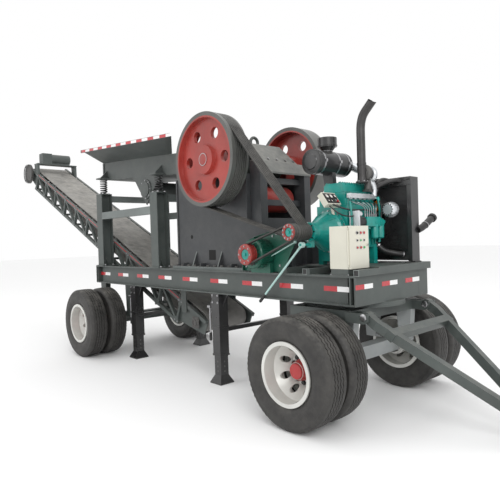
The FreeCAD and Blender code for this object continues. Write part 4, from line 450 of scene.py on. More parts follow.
engine_paint = finish("engine_paint", (0.0, 0.235, 0.200), rough=0.33, coat=0.35, dusty=0.08, worn=0.1,
                      vary=0.3, cloud=5.0, bump=0.16, grain=140.0)
green_paint = finish("green_paint", (0.0, 0.085, 0.052), rough=0.4, coat=0.2, dusty=0.15, worn=0.3)
cream_paint = finish("cream_paint", (0.60, 0.585, 0.50), rough=0.42, vary=0.06, dusty=0.1, worn=0.0,
                     grain=500.0, bump=0.10)
rim_silver = finish("rim_silver", (0.60, 0.60, 0.57), rough=0.34, metal=0.25, vary=0.12, dusty=0.35, worn=0.0)
axle_grey = finish("axle_grey", (0.33, 0.35, 0.35), rough=0.5, vary=0.15, dusty=0.2)
cast_iron = finish("cast_iron", (0.10, 0.098, 0.095), rough=0.55, metal=0.6, dusty=0.3, bump=0.3, grain=90.0)
steel = finish("steel", (0.42, 0.42, 0.43), rough=0.3, metal=1.0, dusty=0.1, worn=0.0, bump=0.05)
bare_alu = finish("bare_alu", (0.66, 0.68, 0.70), rough=0.36, metal=0.85, vary=0.12, dusty=0.1, worn=0.0,
                  bump=0.2, grain=160.0, cloud=8.0)
fan_plastic = finish("fan_plastic", (0.66, 0.19, 0.022), rough=0.35, vary=0.12, dusty=0.1, worn=0.0)
belt_rubber = finish("belt_rubber", (0.030, 0.029, 0.027), rough=0.6, vary=0.3, dusty=0.25, worn=0.0)
hose_rubber = finish("hose_rubber", (0.012, 0.012, 0.013), rough=0.42, vary=0.3, dusty=0.15, worn=0.0)
tape_red = finish("tape_red", (0.46, 0.010, 0.020), rough=0.25, coat=0.5, vary=0.1, dusty=0.1, worn=0.0,
                  grain=900.0, bump=0.15)
tape_white = finish("tape_white", (0.80, 0.80, 0.80), rough=0.25, coat=0.5, vary=0.06, dusty=0.1, worn=0.0,
                    grain=900.0, bump=0.15)
cap_red = finish("cap_red", (0.38, 0.010, 0.012), rough=0.3, coat=0.4, vary=0.1, dusty=0.15, worn=0.1)
button_green = finish("button_green", (0.02, 0.30, 0.07), rough=0.25, coat=0.5, dusty=0.0, worn=0.0)
dial_white = finish("dial_white", (0.75, 0.75, 0.70), rough=0.4, vary=0.04, dusty=0.0, worn=0.0)
brass = finish("brass", (0.50, 0.36, 0.14), rough=0.3, metal=1.0, dusty=0.1, worn=0.0)
radiator_dark = finish("radiator_dark", (0.030, 0.030, 0.032), rough=0.5, metal=0.4, dusty=0.3, worn=0.0)
stack_paint = finish("stack_paint", (0.050, 0.048, 0.048), rough=0.38, metal=0.5, vary=0.35, cloud=6.0,
                     dusty=0.1,
                     worn=0.1)
dusty_belt = finish("dusty_belt", (0.21, 0.205, 0.195), rough=0.8, vary=0.35, cloud=3.0, dusty=0.7, worn=0.0)
lever_paint = finish("lever_paint", (0.42, 0.62, 0.58), rough=0.35, vary=0.1, dusty=0.1, worn=0.3)
# A near-black, matt finish: painted shade inside the openings of the crusher walls.
opening_shade_black = finish("opening_shade_black", (0.004, 0.004, 0.004), rough=0.9, vary=0.0, dusty=0.0, worn=0.0)
print("finishes", len(bpy.data.materials))

# %% [markdown]
# ## Light, floor and camera
# The plant stands on a plain pale floor under soft studio light: a pale sky that comes from everywhere, a
# large key light from the front right, a weaker one from the left and a strip from above. The camera
# stands a little above the deck at the drawbar end, and looks back along the near side.

# %% Stage
SKY = 1.0
world = bpy.data.worlds.new("studio")
world.use_nodes = True
world.node_tree.nodes["Background"].inputs["Color"].default_value = (1, 1, 1, 1)
world.node_tree.nodes["Background"].inputs["Strength"].default_value = SKY
bpy.context.scene.world = world

bpy.context.scene.view_settings.view_transform = "Standard"

floor_draft = bmesh.new()
FLOOR_HALF = 60.0
corners = [Vector((sx * FLOOR_HALF, sy * FLOOR_HALF, -0.001)) for sx,
           sy in ((-1, -1), (1, -1), (1, 1), (-1, 1))]
floor_draft.faces.new([floor_draft.verts.new(corner) for corner in corners])
floor_mesh = bpy.data.meshes.new("floor")
floor_draft.to_mesh(floor_mesh)
floor_draft.free()
floor = bpy.data.objects.new("floor", floor_mesh)
bpy.context.scene.collection.objects.link(floor)
floor_paint = bpy.data.materials.new("floor_paint")
floor_paint.use_nodes = True
floor_shader = floor_paint.node_tree.nodes["Principled BSDF"]
floor_shader.inputs["Base Color"].default_value = (0.93, 0.93, 0.93, 1)
floor_shader.inputs["Roughness"].default_value = 0.9
floor_mesh.materials.append(floor_paint)


def soft_light(name, where, toward, size, power):
    """A large square light that faces a point."""
    lamp = bpy.data.lights.new(name, "AREA")
    lamp.size = size
    lamp.energy = power
    made = bpy.data.objects.new(name, lamp)
    made.location = where
    made.rotation_euler = (Vector(toward) - Vector(where)).to_track_quat("-Z", "Y").to_euler()
    bpy.context.scene.collection.objects.link(made)


soft_light("key", (13.0, -7.0, 8.5), (1.0, 0.0, 1.5), 6.0, 620)
soft_light("side", (-4.0, -13.0, 7.0), (0.0, 0.0, 1.5), 8.0, 240)
soft_light("top", (0.0, 0.0, 12.0), (0.0, 0.0, 0.0), 9.0, 200)
print("lights placed")

# %% [markdown]
# A camera is placed by where it stands and by three turns: sideways, up or down, and a slight roll. Its
# matrix is built from those directions, so nothing has to point at a target.

# %% Camera
CAMERA_AT = Vector((king_x + 3.134, -4.438, 1.768))
YAW = math.radians(47.69)        # to the left of straight ahead along Y
PITCH = math.radians(-0.654)
ROLL = math.radians(-1.80)
ahead = Vector((-math.sin(YAW) * math.cos(PITCH), math.cos(YAW) * math.cos(PITCH), math.sin(PITCH)))
level_right = Vector((math.cos(YAW), math.sin(YAW), 0))
level_up = level_right.cross(ahead)
right = level_right * math.cos(ROLL) + level_up * math.sin(ROLL)
above = level_up * math.cos(ROLL) - level_right * math.sin(ROLL)
lens = bpy.data.cameras.new("camera")
lens.sensor_width = 36.0
lens.lens = 35.75
lens.shift_y = -0.011
lens.clip_end = 200.0
camera = bpy.data.objects.new("camera", lens)
turn = Matrix((right, above, -ahead)).transposed()
camera.matrix_world = Matrix.Translation(CAMERA_AT) @ turn.to_4x4()
bpy.context.scene.collection.objects.link(camera)
bpy.context.scene.camera = camera
print("camera at", tuple(round(part, 3) for part in camera.location))

# %% [markdown]
# ## The finish of each CAD piece
# A CAD piece whose shape is right stays as it is and only gets its finish. One table says which finish
# each node takes; what is missing from it takes the finish of its slot in the record.

# %% Finishes on the frame
by_slot = {"frame_paint": frame_paint, "crusher_paint": crusher_paint, "hopper_paint": hopper_paint,
           "red_paint": red_paint, "black_paint": black_paint, "engine_paint": engine_paint,
           "green_paint": green_paint, "cream_paint": cream_paint, "rim_silver": rim_silver,
           "axle_grey": axle_grey, "belt_rubber": belt_rubber, "cast_iron": cast_iron, "steel": steel,
           "bare_alu": bare_alu, "fan_plastic": fan_plastic, "tyre": hose_rubber,
           "conveyor_rubber": dusty_belt}
special = {"flywheel_near": wheel_red, "flywheel_far": wheel_red, "crusher_cover": cover_paint,
           "clutch_lever": lever_paint, "stand_rails": rail_paint}
slots = {part["node"]: part["material_slot"] for part in frame["record"]["subparts"]}
for name, cad in frame["nodes"].items():
    cad.data.materials.clear()
    cad.data.materials.append(special.get(name, by_slot[slots[name]]))
print("CAD pieces finished:", len(frame["nodes"]))

# %% [markdown]
# ## Rows of like things
# Bolts, plates in a row, plates round a ring and coil springs repeat all over the machine. Geometry
# Nodes make them: each tree has named inputs for its sizes, lays its instances, realizes them and sets
# the finish. The result is turned into a plain mesh, one for each body.

# %% Geometry trees
def geometry_tree(name, inputs):
    sockets = [("Geometry", "NodeSocketGeometry", None), *inputs, ("Finish", "NodeSocketMaterial", None)]
    return group(name, sockets, [("Geometry", "NodeSocketGeometry")], "GeometryNodeTree")


def close_tree(tree, given, out, instances):
    """Realizes the instances and sets their finish."""
    real = node(tree, "GeometryNodeRealizeInstances", Geometry=instances)
    painted = node(tree, "GeometryNodeSetMaterial", Geometry=real.outputs[0],
                   Material=given.outputs["Finish"])
    tree.links.new(painted.outputs[0], out.inputs["Geometry"])
    return tree


def bolt_tree():
    """A washer and a hexagon head on every point, facing along the point's own direction."""
    tree, given, out = geometry_tree("bolts", [("Width", FLOAT, 0.02), ("Height", FLOAT, 0.012)])
    width, height = given.outputs["Width"], given.outputs["Height"]
    washer = node(tree, "GeometryNodeMeshCylinder", Vertices=14,
                  Radius=math_of(tree, "MULTIPLY", width, 0.72),
                  Depth=math_of(tree, "MULTIPLY", height, 0.4))
    head = node(tree, "GeometryNodeMeshCylinder", Vertices=6, Radius=math_of(tree, "MULTIPLY", width, 0.56),
                Depth=math_of(tree, "MULTIPLY", height, 2.0))
    both = tree.nodes.new("GeometryNodeJoinGeometry")
    tree.links.new(washer.outputs["Mesh"], both.inputs[0])
    tree.links.new(head.outputs["Mesh"], both.inputs[0])
    facing = node(tree, "GeometryNodeInputNamedAttribute", {"data_type": "FLOAT_VECTOR"}, Name="facing")
    aim = node(tree, "FunctionNodeAlignRotationToVector", {"axis": "Z"}, Vector=facing.outputs[0])
    laid = node(tree, "GeometryNodeInstanceOnPoints", Points=given.outputs["Geometry"],
                Instance=both.outputs[0], Rotation=aim.outputs[0])
    return close_tree(tree, given, out, laid.outputs[0])


def plates_tree():
    """One block of a given size on every point, turned to the point's facing direction."""
    tree, given, out = geometry_tree("plates", [("Size", VECTOR, (0.1, 0.1, 0.01))])
    plate_mesh = node(tree, "GeometryNodeMeshCube", Size=given.outputs["Size"])
    facing = node(tree, "GeometryNodeInputNamedAttribute", {"data_type": "FLOAT_VECTOR"}, Name="facing")
    aim = node(tree, "FunctionNodeAlignRotationToVector", {"axis": "X"}, Vector=facing.outputs[0])
    laid = node(tree, "GeometryNodeInstanceOnPoints", Points=given.outputs["Geometry"],
                Instance=plate_mesh.outputs["Mesh"], Rotation=aim.outputs[0])
    return close_tree(tree, given, out, laid.outputs[0])


def coil_tree():
    """A coil of round wire that stands on every point."""
    tree, given, out = geometry_tree("coils", [("Radius", FLOAT, 0.05), ("Wire", FLOAT, 0.008),
                                               ("Height", FLOAT, 0.2), ("Turns", FLOAT, 5.0)])
    spiral = node(tree, "GeometryNodeCurveSpiral", Resolution=22, Rotations=given.outputs["Turns"],
                  Start_Radius=given.outputs["Radius"], End_Radius=given.outputs["Radius"],
                  Height=given.outputs["Height"])
    section = node(tree, "GeometryNodeCurvePrimitiveCircle", {"mode": "RADIUS"}, Resolution=10,
                   Radius=given.outputs["Wire"])
    wire = node(tree, "GeometryNodeCurveToMesh", Curve=spiral.outputs["Curve"],
                Profile_Curve=section.outputs["Curve"], Fill_Caps=True)
    laid = node(tree, "GeometryNodeInstanceOnPoints", Points=given.outputs["Geometry"],
                Instance=wire.outputs["Mesh"])
    return close_tree(tree, given, out, laid.outputs[0])


bolts, plates, coils = bolt_tree(), plates_tree(), coil_tree()


def grown(name, tree, spots, one_finish, body, slot, **sizes):
    """Runs a tree on a list of (point, facing direction) spots and keeps the plain mesh."""
    seed = bpy.data.meshes.new(name + "_spots")
    seed.from_pydata([tuple(point) for point, _ in spots], [], [])
    attribute = seed.attributes.new("facing", "FLOAT_VECTOR", "POINT")
    attribute.data.foreach_set("vector", [part for _, facing in spots for part in facing])
    carrier = bpy.data.objects.new(name + "_carrier", seed)
    bpy.context.scene.collection.objects.link(carrier)
    growth = carrier.modifiers.new("growth", "NODES")
    growth.node_group = tree
    identifiers = {item.name: item.identifier for item in tree.interface.items_tree
                   if item.item_type == "SOCKET" and item.in_out == "INPUT"}
    for label, value in sizes.items():
        growth[identifiers[label]] = value
    growth[identifiers["Finish"]] = one_finish
    bpy.context.view_layer.update()
    live = carrier.evaluated_get(bpy.context.evaluated_depsgraph_get())
    mesh = bpy.data.meshes.new_from_object(live)
    bpy.data.objects.remove(carrier)
    mesh.name = name
    return dress(bpy.data.objects.new(name, mesh), [], body)


def bolted(name, spots, width, height, metal=steel, body="chassis", slot="steel"):
    """Bolt heads of one size on a list of spots."""
    return grown(name, bolts, spots, metal, body, slot, Width=width, Height=height)


def ring_spots(centre, axis, radius, count, phase=0.0, facing=None):
    """Spots evenly round a circle about an axis; they face along the axis, or outwards."""
    a, b = across(Vector(axis))
    spots = []
    for i in range(count):
        t = 2 * math.pi * (i + phase) / count
        out = a * math.cos(t) + b * math.sin(t)
        spots.append((Vector(centre) + out * radius, Vector(facing) if facing is not None else out))
    return spots


def line_spots(start, end, count, facing):
    start, end = Vector(start), Vector(end)
    return [(start.lerp(end, i / max(count - 1, 1)), Vector(facing)) for i in range(count)]


print("geometry trees", [tree.name for tree in (bolts, plates, coils)])

# %% [markdown]
# ## Tyres
# A truck tyre for trailers has five ribs round its tread with zig-zag grooves between them, and small
# notches at the shoulders. One profile is swept round the axle. Its groove points step sideways by a
# zig-zag rule, and the shoulder points dip on every second step. The rubber is dark with a brown bloom,
# and fine rings run round the side wall.

# %% Tyre rubber
def tyre_rubber(name, axle):
    """Black rubber whose side wall has fine moulded rings about the axle."""
    material = finish(name, (0.020, 0.019, 0.018), rough=0.6, vary=0.35, cloud=4.0, dusty=0.35, worn=0.0,
                      bump=0.15)
    tree = material.node_tree
    away = placed(tree, axle_distance, Axle=axle)
    wave = math_of(tree, "SINE", math_of(tree, "MULTIPLY", away, 520.0), 0.0)
    on_wall = math_of(tree, "MULTIPLY", mask_over(tree, away, 0.355, 0.365),
                      mask_over(tree, away, 0.455, 0.445))
    rings = math_of(tree, "MULTIPLY", wave, on_wall)
    first = tree.nodes["Principled BSDF"].inputs["Normal"].links[0].from_socket
    ringed = node(tree, "ShaderNodeBump", Strength=0.35, Distance=0.0015, Height=rings, Normal=first)
    tree.links.new(ringed.outputs["Normal"], tree.nodes["Principled BSDF"].inputs["Normal"])
    return material


# %% [markdown]
# The section is a list of points from one bead over the tread to the other bead and back inside. It
# changes a little from step to step round the axle, and that makes the zig-zags and the notches.

# %% The tyre shape
STEPS = 240                     # steps round the tyre; four make one zig-zag
ZIGZAG = (0.0, 1.0, 0.0, -1.0)
RIBS = (-0.056, -0.019, 0.019, 0.056)


def tyre_profile(radius, bead, half, step):
    """(radius, sideways) points of one section, from bead to bead and back inside."""
    sway = ZIGZAG[step % 4] * 0.0055
    notch = 0.007 if step % 4 in (0, 1) else 0.0
    outer = [(bead, half - 0.046), (bead + 0.012, half - 0.040), (bead + 0.030, half - 0.030),
             (bead + 0.065, half - 0.010), (bead + 0.105, half - 0.001), (bead + 0.135, half - 0.0005),
             (bead + 0.170, half - 0.005), (radius - 0.046, half - 0.011), (radius - 0.040, half - 0.009),
             (radius - 0.030, half - 0.012 - notch * 0.6), (radius - 0.014, half - 0.024 - notch * 0.5),
             (radius - 0.006, half - 0.034), (radius - 0.0035, half - 0.044)]
    left = [(r, -y) for r, y in outer]
    tread = []
    for groove in RIBS:
        at = groove + sway
        crown = radius - 0.0035 * (groove / 0.09) ** 2
        tread += [(crown, at - 0.0055), (crown - 0.012, at - 0.0032), (crown - 0.012, at + 0.0032),
                  (crown, at + 0.0055)]
    inside = [(bead, half - 0.070), (bead + 0.134, half - 0.024), (radius - 0.030, half - 0.050)]
    return (left + tread + outer[::-1] + inside + [(r, -y) for r, y in reversed(inside)])


def tyre_into(draft, axle, y_mid, radius, bead, half):
    rows = []
    for step in range(STEPS):
        angle = 2 * math.pi * step / STEPS
        direction = Vector((math.cos(angle), 0, math.sin(angle)))
        rows.append([draft.verts.new(Vector((axle.x, y_mid + y, axle.z)) + direction * r)
                     for r, y in tyre_profile(radius, bead, half, step)])
    count = len(rows[0])
    for i in range(STEPS):
        this_row, next_row = rows[i], rows[(i + 1) % STEPS]
        for j in range(count):
            k = (j + 1) % count
            draft.faces.new((this_row[j], this_row[k], next_row[k], next_row[j]))


TYRE_HALF = 0.140
BEAD = 0.2785
for end in ("front", "rear"):
    for side_name, side in (("near", -1), ("far", 1)):
        node_name = f"tyres_{end}_{side_name}"
        low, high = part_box(node_name)
        axle = pivots[f"{end}_{side_name}_roll"]
        outer_y = (high.y - TYRE_HALF) if side > 0 else (low.y + TYRE_HALF)
        inner_y = (low.y + TYRE_HALF) if side > 0 else (high.y - TYRE_HALF)
        draft = bmesh.new()
        for y_mid in (outer_y, inner_y):
            tyre_into(draft, axle, y_mid, (high.z - low.z) / 2, BEAD, TYRE_HALF)
        piece(f"tyre_pair_{end}_{side_name}", draft, [tyre_rubber(f"rubber_{end}_{side_name}", axle)],
              f"wheels_{end}_{side_name}", stands_for=[node_name])

# %% [markdown]
# ## Wheel fittings
# Each pair of rims is held by ten nuts round the hub, under a red cap like a cone with a few steps. The
# nuts are dark, the studs stand a little proud, and a bright valve stem shows in one hand hole.

# %% Nuts, caps and valves
NUT_RING = 0.125
NUT_COUNT = 10
for end in ("front", "rear"):
    for side_name, side in (("near", -1), ("far", 1)):
        body = f"wheels_{end}_{side_name}"
        low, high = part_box(f"tyres_{end}_{side_name}")
        axle = pivots[f"{end}_{side_name}_roll"]
        pair_mid = (low.y + high.y) / 2
        face_y = pair_mid + side * 0.016
        out = Vector((0, side, 0))
        nuts = ring_spots((axle.x, face_y + side * 0.009, axle.z), Y, NUT_RING, NUT_COUNT, facing=out)
        grown(f"wheel_nuts_{end}_{side_name}", bolts, nuts, hose_rubber, body, "steel", Width=0.036,
              Height=0.016)
        draft = bmesh.new()
        centre = Vector((axle.x, face_y, axle.z))
        cap = [(0.0, 0.002), (0.1005, 0.002), (0.1005, 0.030), (0.0975, 0.034), (0.0965, 0.060),
               (0.088, 0.074), (0.086, 0.096), (0.074, 0.112), (0.071, 0.121), (0.030, 0.127), (0.0, 0.1275)]
        turned(draft, centre, out, cap, sides=40)
        for i in range(8):
            t = 2 * math.pi * i / 8
            spot = centre + Vector((math.cos(t), 0, math.sin(t))) * 0.0915 + out * 0.074
            rod(draft, spot, spot + out * 0.007, 0.006, sides=6)
        piece(f"hub_cap_{end}_{side_name}", draft, [cap_red], body)
        draft = bmesh.new()
        stem = centre + Vector((0.0, 0, 0.232))
        pipe(draft, [stem - out * 0.01, stem + out * 0.05, stem + out * 0.09 - Z * 0.012], 0.0045, sides=8)
        rod(draft, stem + out * 0.088 - Z * 0.0115, stem + out * 0.108 - Z * 0.0165, 0.0065, paint=1,
            sides=10)
        piece(f"valve_stem_{end}_{side_name}", draft, [brass, hose_rubber], body)

# %% [markdown]
# ## Reflective tape
# Pairs of red and white tape run along both side beams and across both end beams, and along the rim of
# the hopper. Each strip is a very thin plate on the steel behind it.

# %% Tape on the beams and the hopper
TAPE = 0.0012
NEAR_OUT, FAR_OUT, FRONT_OUT, REAR_OUT = Vector((0, -1, 0)), Vector((0, 1, 0)), X, -X
side_lengths = {"red": (165, 0), "white": (170, 165)}
for paint_name, (length, shift) in side_lengths.items():
    spots = []
    for k in range(9):
        x = -8 - 609 * k + shift + length / 2
        if -4940 < x < 395:
            spots += [(place(x, -609.6, 1258), NEAR_OUT), (place(x, 609.6, 1258), FAR_OUT)]
    grown(f"beam_tape_{paint_name}", plates, spots, tape_red if paint_name == "red" else tape_white,
          "chassis", "red_paint" if paint_name == "red" else "cream_paint", Size=(TAPE, length / 1000, 0.050))
end_spots = {"red": [], "white": []}
for k in range(3):
    for x, out in ((405.6, FRONT_OUT), (-4949.6, REAR_OUT)):
        end_spots["red"].append((place(x, -590 + 435 * k, 1285), out))
        end_spots["white"].append((place(x, -450 + 435 * k, 1285), out))
for paint_name, spots in end_spots.items():
    grown(f"end_tape_{paint_name}", plates, spots, tape_red if paint_name == "red" else tape_white,
          "chassis", "red_paint" if paint_name == "red" else "cream_paint", Size=(TAPE, 0.140, 0.046))
hopper_low, hopper_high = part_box("feed_hopper")
FALL = math.radians(4.0)


def trough_floor(x):
    """The height of the sloping feeder floor at a place along the plant."""
    return 2860 - (x + 4890) * math.tan(FALL)


rim_tilt = Matrix.Rotation(FALL, 3, "Y")
for paint_name, shift in (("red", 0), ("white", 1)):
    draft = bmesh.new()
    for k in range(9):
        along_rim = 0.11 + (2 * k + shift) * 0.150
        for side in (-1, 1):
            y = side * (0.895 + TAPE / 2)
            x = hopper_low.x + along_rim
            z = hopper_high.z - 0.023 - math.tan(FALL) * along_rim
            half = Vector((0.0745, TAPE / 2, 0.019))
            block(draft, Vector((x, y, z)) - half, Vector((x, y, z)) + half, turn=rim_tilt)
    piece(f"rim_tape_{paint_name}", draft, [tape_red if paint_name == "red" else tape_white], "chassis")

# %% [markdown]
# ## The flare of the hopper
# The sides of the hopper lean outward from the top of the feeder to the rim. The rim is longer than the
# feeder, so each side is slightly twisted, and it is skinned from one end to the other in short steps.
# These sides are drawn only here: the construction has none behind them.

# %% Hopper sides
HOPPER_T = 0.012
SIDE_STEPS = 16
sides_draft = bmesh.new()
for side in (-1, 1):
    low_rear, low_front = place(-4888, side * 500.5, 3148), place(-2780, side * 500.5, 3001)
    top_rear, top_front = place(-4888, side * 882.5, 3329), place(-2215, side * 882.5, 3142)
    inward = Vector((0, -side * HOPPER_T, 0))
    rings = []
    for k in range(SIDE_STEPS + 1):
        low_edge = low_rear.lerp(low_front, k / SIDE_STEPS)
        top_edge = top_rear.lerp(top_front, k / SIDE_STEPS)
        rings.append([low_edge, top_edge, top_edge + inward, low_edge + inward])
    faces_from(sides_draft, rings, True, 0)
piece("hopper_sides", sides_draft, [hopper_paint], "chassis")

# %% [markdown]
# ## Feeder, its springs and its stand
# The feeder floats on four stacks of coil springs between the posts and its brackets. Each stack has a
# round seat at both ends. The trough is stiffened at both ends, and the exciter under it has
# bearing covers with a ring of bolts.

# %% Springs, end bands and exciter
POSTS = ((-4755, 2600, 2850.6), (-3040, 2480, 2730.6))
spring_spots = []
seats = bmesh.new()
for x, low, high in POSTS:
    for y in (-569, 569):
        spring_spots.append((place(x, y, low + 14), Z))
        rod(seats, place(x, y, low), place(x, y, low + 12), 0.064, sides=28)
        rod(seats, place(x, y, high - 13), place(x, y, high - 1), 0.064, sides=28)
        rod(seats, place(x, y, low + 12), place(x, y, low + 40), 0.030, sides=16)
springs = grown("feeder_coils", coils, spring_spots, black_paint, "chassis", "black_paint", Radius=0.052,
                Wire=0.0105, Height=0.2225, Turns=6.0)
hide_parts("feeder_springs")
piece("spring_seats", seats, [frame_paint], "chassis", bevel=0.001)

ribs = bmesh.new()
for side in (-1, 1):
    for x0, x1 in ((-4885, -4845), (-2600, -2562)):
        z = trough_floor((x0 + x1) / 2)
        block(ribs, place(x0, side * 500, z + 5), place(x1, side * 512, z + 280))
piece("trough_end_bands", ribs, [hopper_paint], "chassis", bevel=0.001)

exciter_mid = (-3880 - 3120) / 2
exciter_z = trough_floor(exciter_mid) - 193.5
covers = bmesh.new()
for side in (-1, 1):
    out = Vector((0, side, 0))
    turned(covers, place(exciter_mid, side * 497, exciter_z), out,
           [(0.0, 0.0), (0.150, 0.0), (0.150, 0.014), (0.118, 0.018), (0.118, 0.034), (0.070, 0.046),
            (0.0, 0.046)])
piece("exciter_covers", covers, [hopper_paint], "chassis")
bolt_spots = []
for side in (-1, 1):
    bolt_spots += ring_spots(place(exciter_mid, side * 511, exciter_z), Y, 0.134, 8, facing=(0, side, 0))
bolted("exciter_bolts", bolt_spots, 0.022, 0.008)

stand = bmesh.new()
for x, low, high in POSTS:
    for side in (-1, 1):
        y = side * 569
        block(stand, place(x - 125, y - 120, 1391), place(x + 125, y + 94 if side > 0 else y + 120, 1405)
              if side < 0 else place(x + 125, y + 94, 1405))
        for reach in (-1, 1):
            plate(stand, [place(x + reach * 7, y - 5, 1405), place(x + reach * 90, y - 5, 1405),
                          place(x + reach * 7, y - 5, 1520)], (0, 0.010, 0))
piece("post_feet", stand, [frame_paint], "chassis", bevel=0.001)
foot_bolts = []
for x, low, high in POSTS:
    for side in (-1, 1):
        for dx in (-108, 108):
            for dy in (-70, 70):
                foot_bolts.append((place(x + dx, side * 569 + dy, 1409), Z))
                foot_bolts.append((place(x + dx * 0.62, side * 569 + dy * 0.8, low + 4), Z))
bolted("post_bolts", foot_bolts, 0.026, 0.011)

# %% [markdown]
# ## Crusher
# The heavy side walls have a few openings, drawn as thin near-black plates that are painted shade for their dark
# inside, with bolted foot flanges. Light strips along the edges of the base and of its ribs are a painted
# highlight. The split bearing housings are held by large bolts.

# %% Walls, bearings and cover
# Thin near-black plates on the walls: painted shade where the openings show their dark inside.
marks = bmesh.new()
for side in (-1, 1):
    y0, y1 = side * 500, side * 501.5
    block(marks, place(-1985, y0, 1511), place(-1846, y1, 1640))
    rod(marks, place(-2351, y0, 1817), place(-2351, y1, 1817), 0.027, sides=20)
    block(marks, place(-680, y0, 1580), place(-610, y1, 1680))
piece("wall_opening_shade", marks, [opening_shade_black], "chassis")
frames = bmesh.new()
for side in (-1, 1):
    block(frames, place(-2676, side * 500, 1432), place(-2648, side * 514, 2610))
    plate(frames, [place(-1216, side * 500, 1965), place(-532, side * 500, 1780),
                   place(-532, side * 500, 1766),
                   place(-1216, side * 500, 1950)], (0, side * 0.012, 0))
    block(frames, place(-1226, side * 500, 1960), place(-1214, side * 516, 2543))
    block(frames, place(-1830, side * 500, 2533), place(-1222, side * 516, 2545))
    for x in (-2450, -2060, -1450, -860):
        block(frames, place(x - 5, side * 500, 1431),
              place(x + 5, side * 590 if x < -1060 else side * 520, 1470))
piece("wall_edges", frames, [crusher_paint], "chassis", bevel=0.0015)
# Thin lighter strips on the sloping edges of the ribs and along the base flange, in the rail paint: a painted
# highlight where light catches these edges.
bright = bmesh.new()
for side in (-1, 1):
    for x in (-2250, -1720, -1130):
        plate(bright, [place(x + 9, side * 575.5, 1431), place(x + 9, side * 500.5, 1620.5),
                       place(x - 9, side * 500.5, 1620.5), place(x - 9, side * 575.5, 1431)],
              (0, side * 0.0015, 0.0006))
    block(bright, place(-2678, side * 600, 1391), place(-1048, side * 601.2, 1428))
piece("flange_edge_highlights", bright, [rail_paint], "chassis")
wall_bolts = []
for side in (-1, 1):
    wall_bolts += line_spots(place(-2640, side * 562, 1434), place(-1090, side * 562, 1434), 12, Z)
    wall_bolts += line_spots(place(-1133, side * 444, 1620), place(-1133, side * 444, 1621), 1, (0, side, 0))
bolted("crusher_bolts", wall_bolts, 0.036, 0.015, metal=cast_iron, slot="crusher_paint")
cap_bolts = []
for side in (-1, 1):
    for dx in (-200, 200):
        for y in (400, 530):
            cap_bolts.append((place(-1600 + dx, side * y, 2676), Z))
bolted("bearing_bolts", cap_bolts, 0.046, 0.020)
caps = bmesh.new()
for side in (-1, 1):
    turned(caps, place(SHAFT_X, side * 585, SHAFT_Z), (0, side, 0),
           [(0.078, 0.0), (0.168, 0.0), (0.168, 0.006), (0.160, 0.010), (0.078, 0.010)])
    for dx in (-1, 1):
        plate(caps, [place(-1600 + dx * 176, side * 352, 2671), place(-1600 + dx * 60, side * 352, 2898),
                     place(-1600 + dx * 178, side * 352, 2740)], (0, side * 0.020, 0))
piece("bearing_caps", caps, [red_paint], "chassis", bevel=0.001)

cover_draft = bmesh.new()
for y in (-332, 326):
    plate(cover_draft, [place(-1470, y, 2960), place(-1160, y, 2690), place(-1160, y, 2676),
                        place(-1470, y, 2930)], (0, 0.006, 0))
piece("cover_edges", cover_draft, [cover_paint], "chassis")
cover_bolts = line_spots(place(-1200, -300, 2742), place(-1200, 300, 2742), 5,
                         (math.sin(math.radians(41)), 0, math.cos(math.radians(41))))
bolted("cover_bolts", cover_bolts, 0.026, 0.010)

# %% [markdown]
# A red drum shows between the rear posts, behind the jaw, and two thin pull rods lean past it.

# %% Behind the jaw
inner = bmesh.new()
turned(inner, place(-1300, -240, 2250), Y, [(0.0, 0.0), (0.150, 0.0), (0.165, 0.03), (0.165, 0.45),
                                          (0.150, 0.48), (0.0, 0.48)], paint=0, sides=36)
piece("toggle_drum", inner, [red_paint], "chassis")
pull = bmesh.new()
pipe(pull, [place(-1350, -80, 1850), place(-1040, -80, 1700)], 0.018, sides=12)
pipe(pull, [place(-1350, 80, 1850), place(-1040, 80, 1700)], 0.018, sides=12)
piece("pull_rods", pull, [steel], "chassis")

# %% [markdown]
# A domed red cap closes each end of the flywheel shaft.

# %% Shaft caps
shaft_caps = bmesh.new()
for side in (-1, 1):
    turned(shaft_caps, place(SHAFT_X, side * 818, SHAFT_Z), (0, side, 0),
           [(0.0, 0.0), (0.092, 0.0), (0.092, 0.014), (0.078, 0.018), (0.078, 0.028), (0.060, 0.033),
            (0.0, 0.034)])
piece("shaft_caps", shaft_caps, [red_paint], "flywheel_shaft")

# %% [markdown]
# ## Belt drive
# The clutch shaft's pulley and the generator's pulley each carry a red ring of bolts round a green
# centre. A thin tension rod runs from the clutch down to the generator, and the green guard has folded
# edges.

# %% Pulley rings and the guard
def pulley_face(name, x, y, z, radius, hole, body, count):
    draft = bmesh.new()
    out = Vector((0, -1, 0))
    turned(draft, place(x, y, z), out, [(hole, 0.001), (radius - 0.004, 0.001), (radius - 0.003, 0.010),
                                        (radius - 0.010, 0.014), (hole + 0.008, 0.014), (hole, 0.010)])
    turned(draft, place(x, y, z), out, [(0.0, 0.0012), (hole - 0.006, 0.0012), (hole - 0.006, 0.0045),
                                        (0.018, 0.0045), (0.018, 0.018), (0.0, 0.018)], paint=1, sides=32)
    piece(name, draft, [red_paint, engine_paint], body)
    spots = ring_spots(place(x, y - 16, z), Y, (hole + radius) / 2 , count, facing=out)
    bolted(name + "_bolts", spots, 0.014, 0.006, body=body)


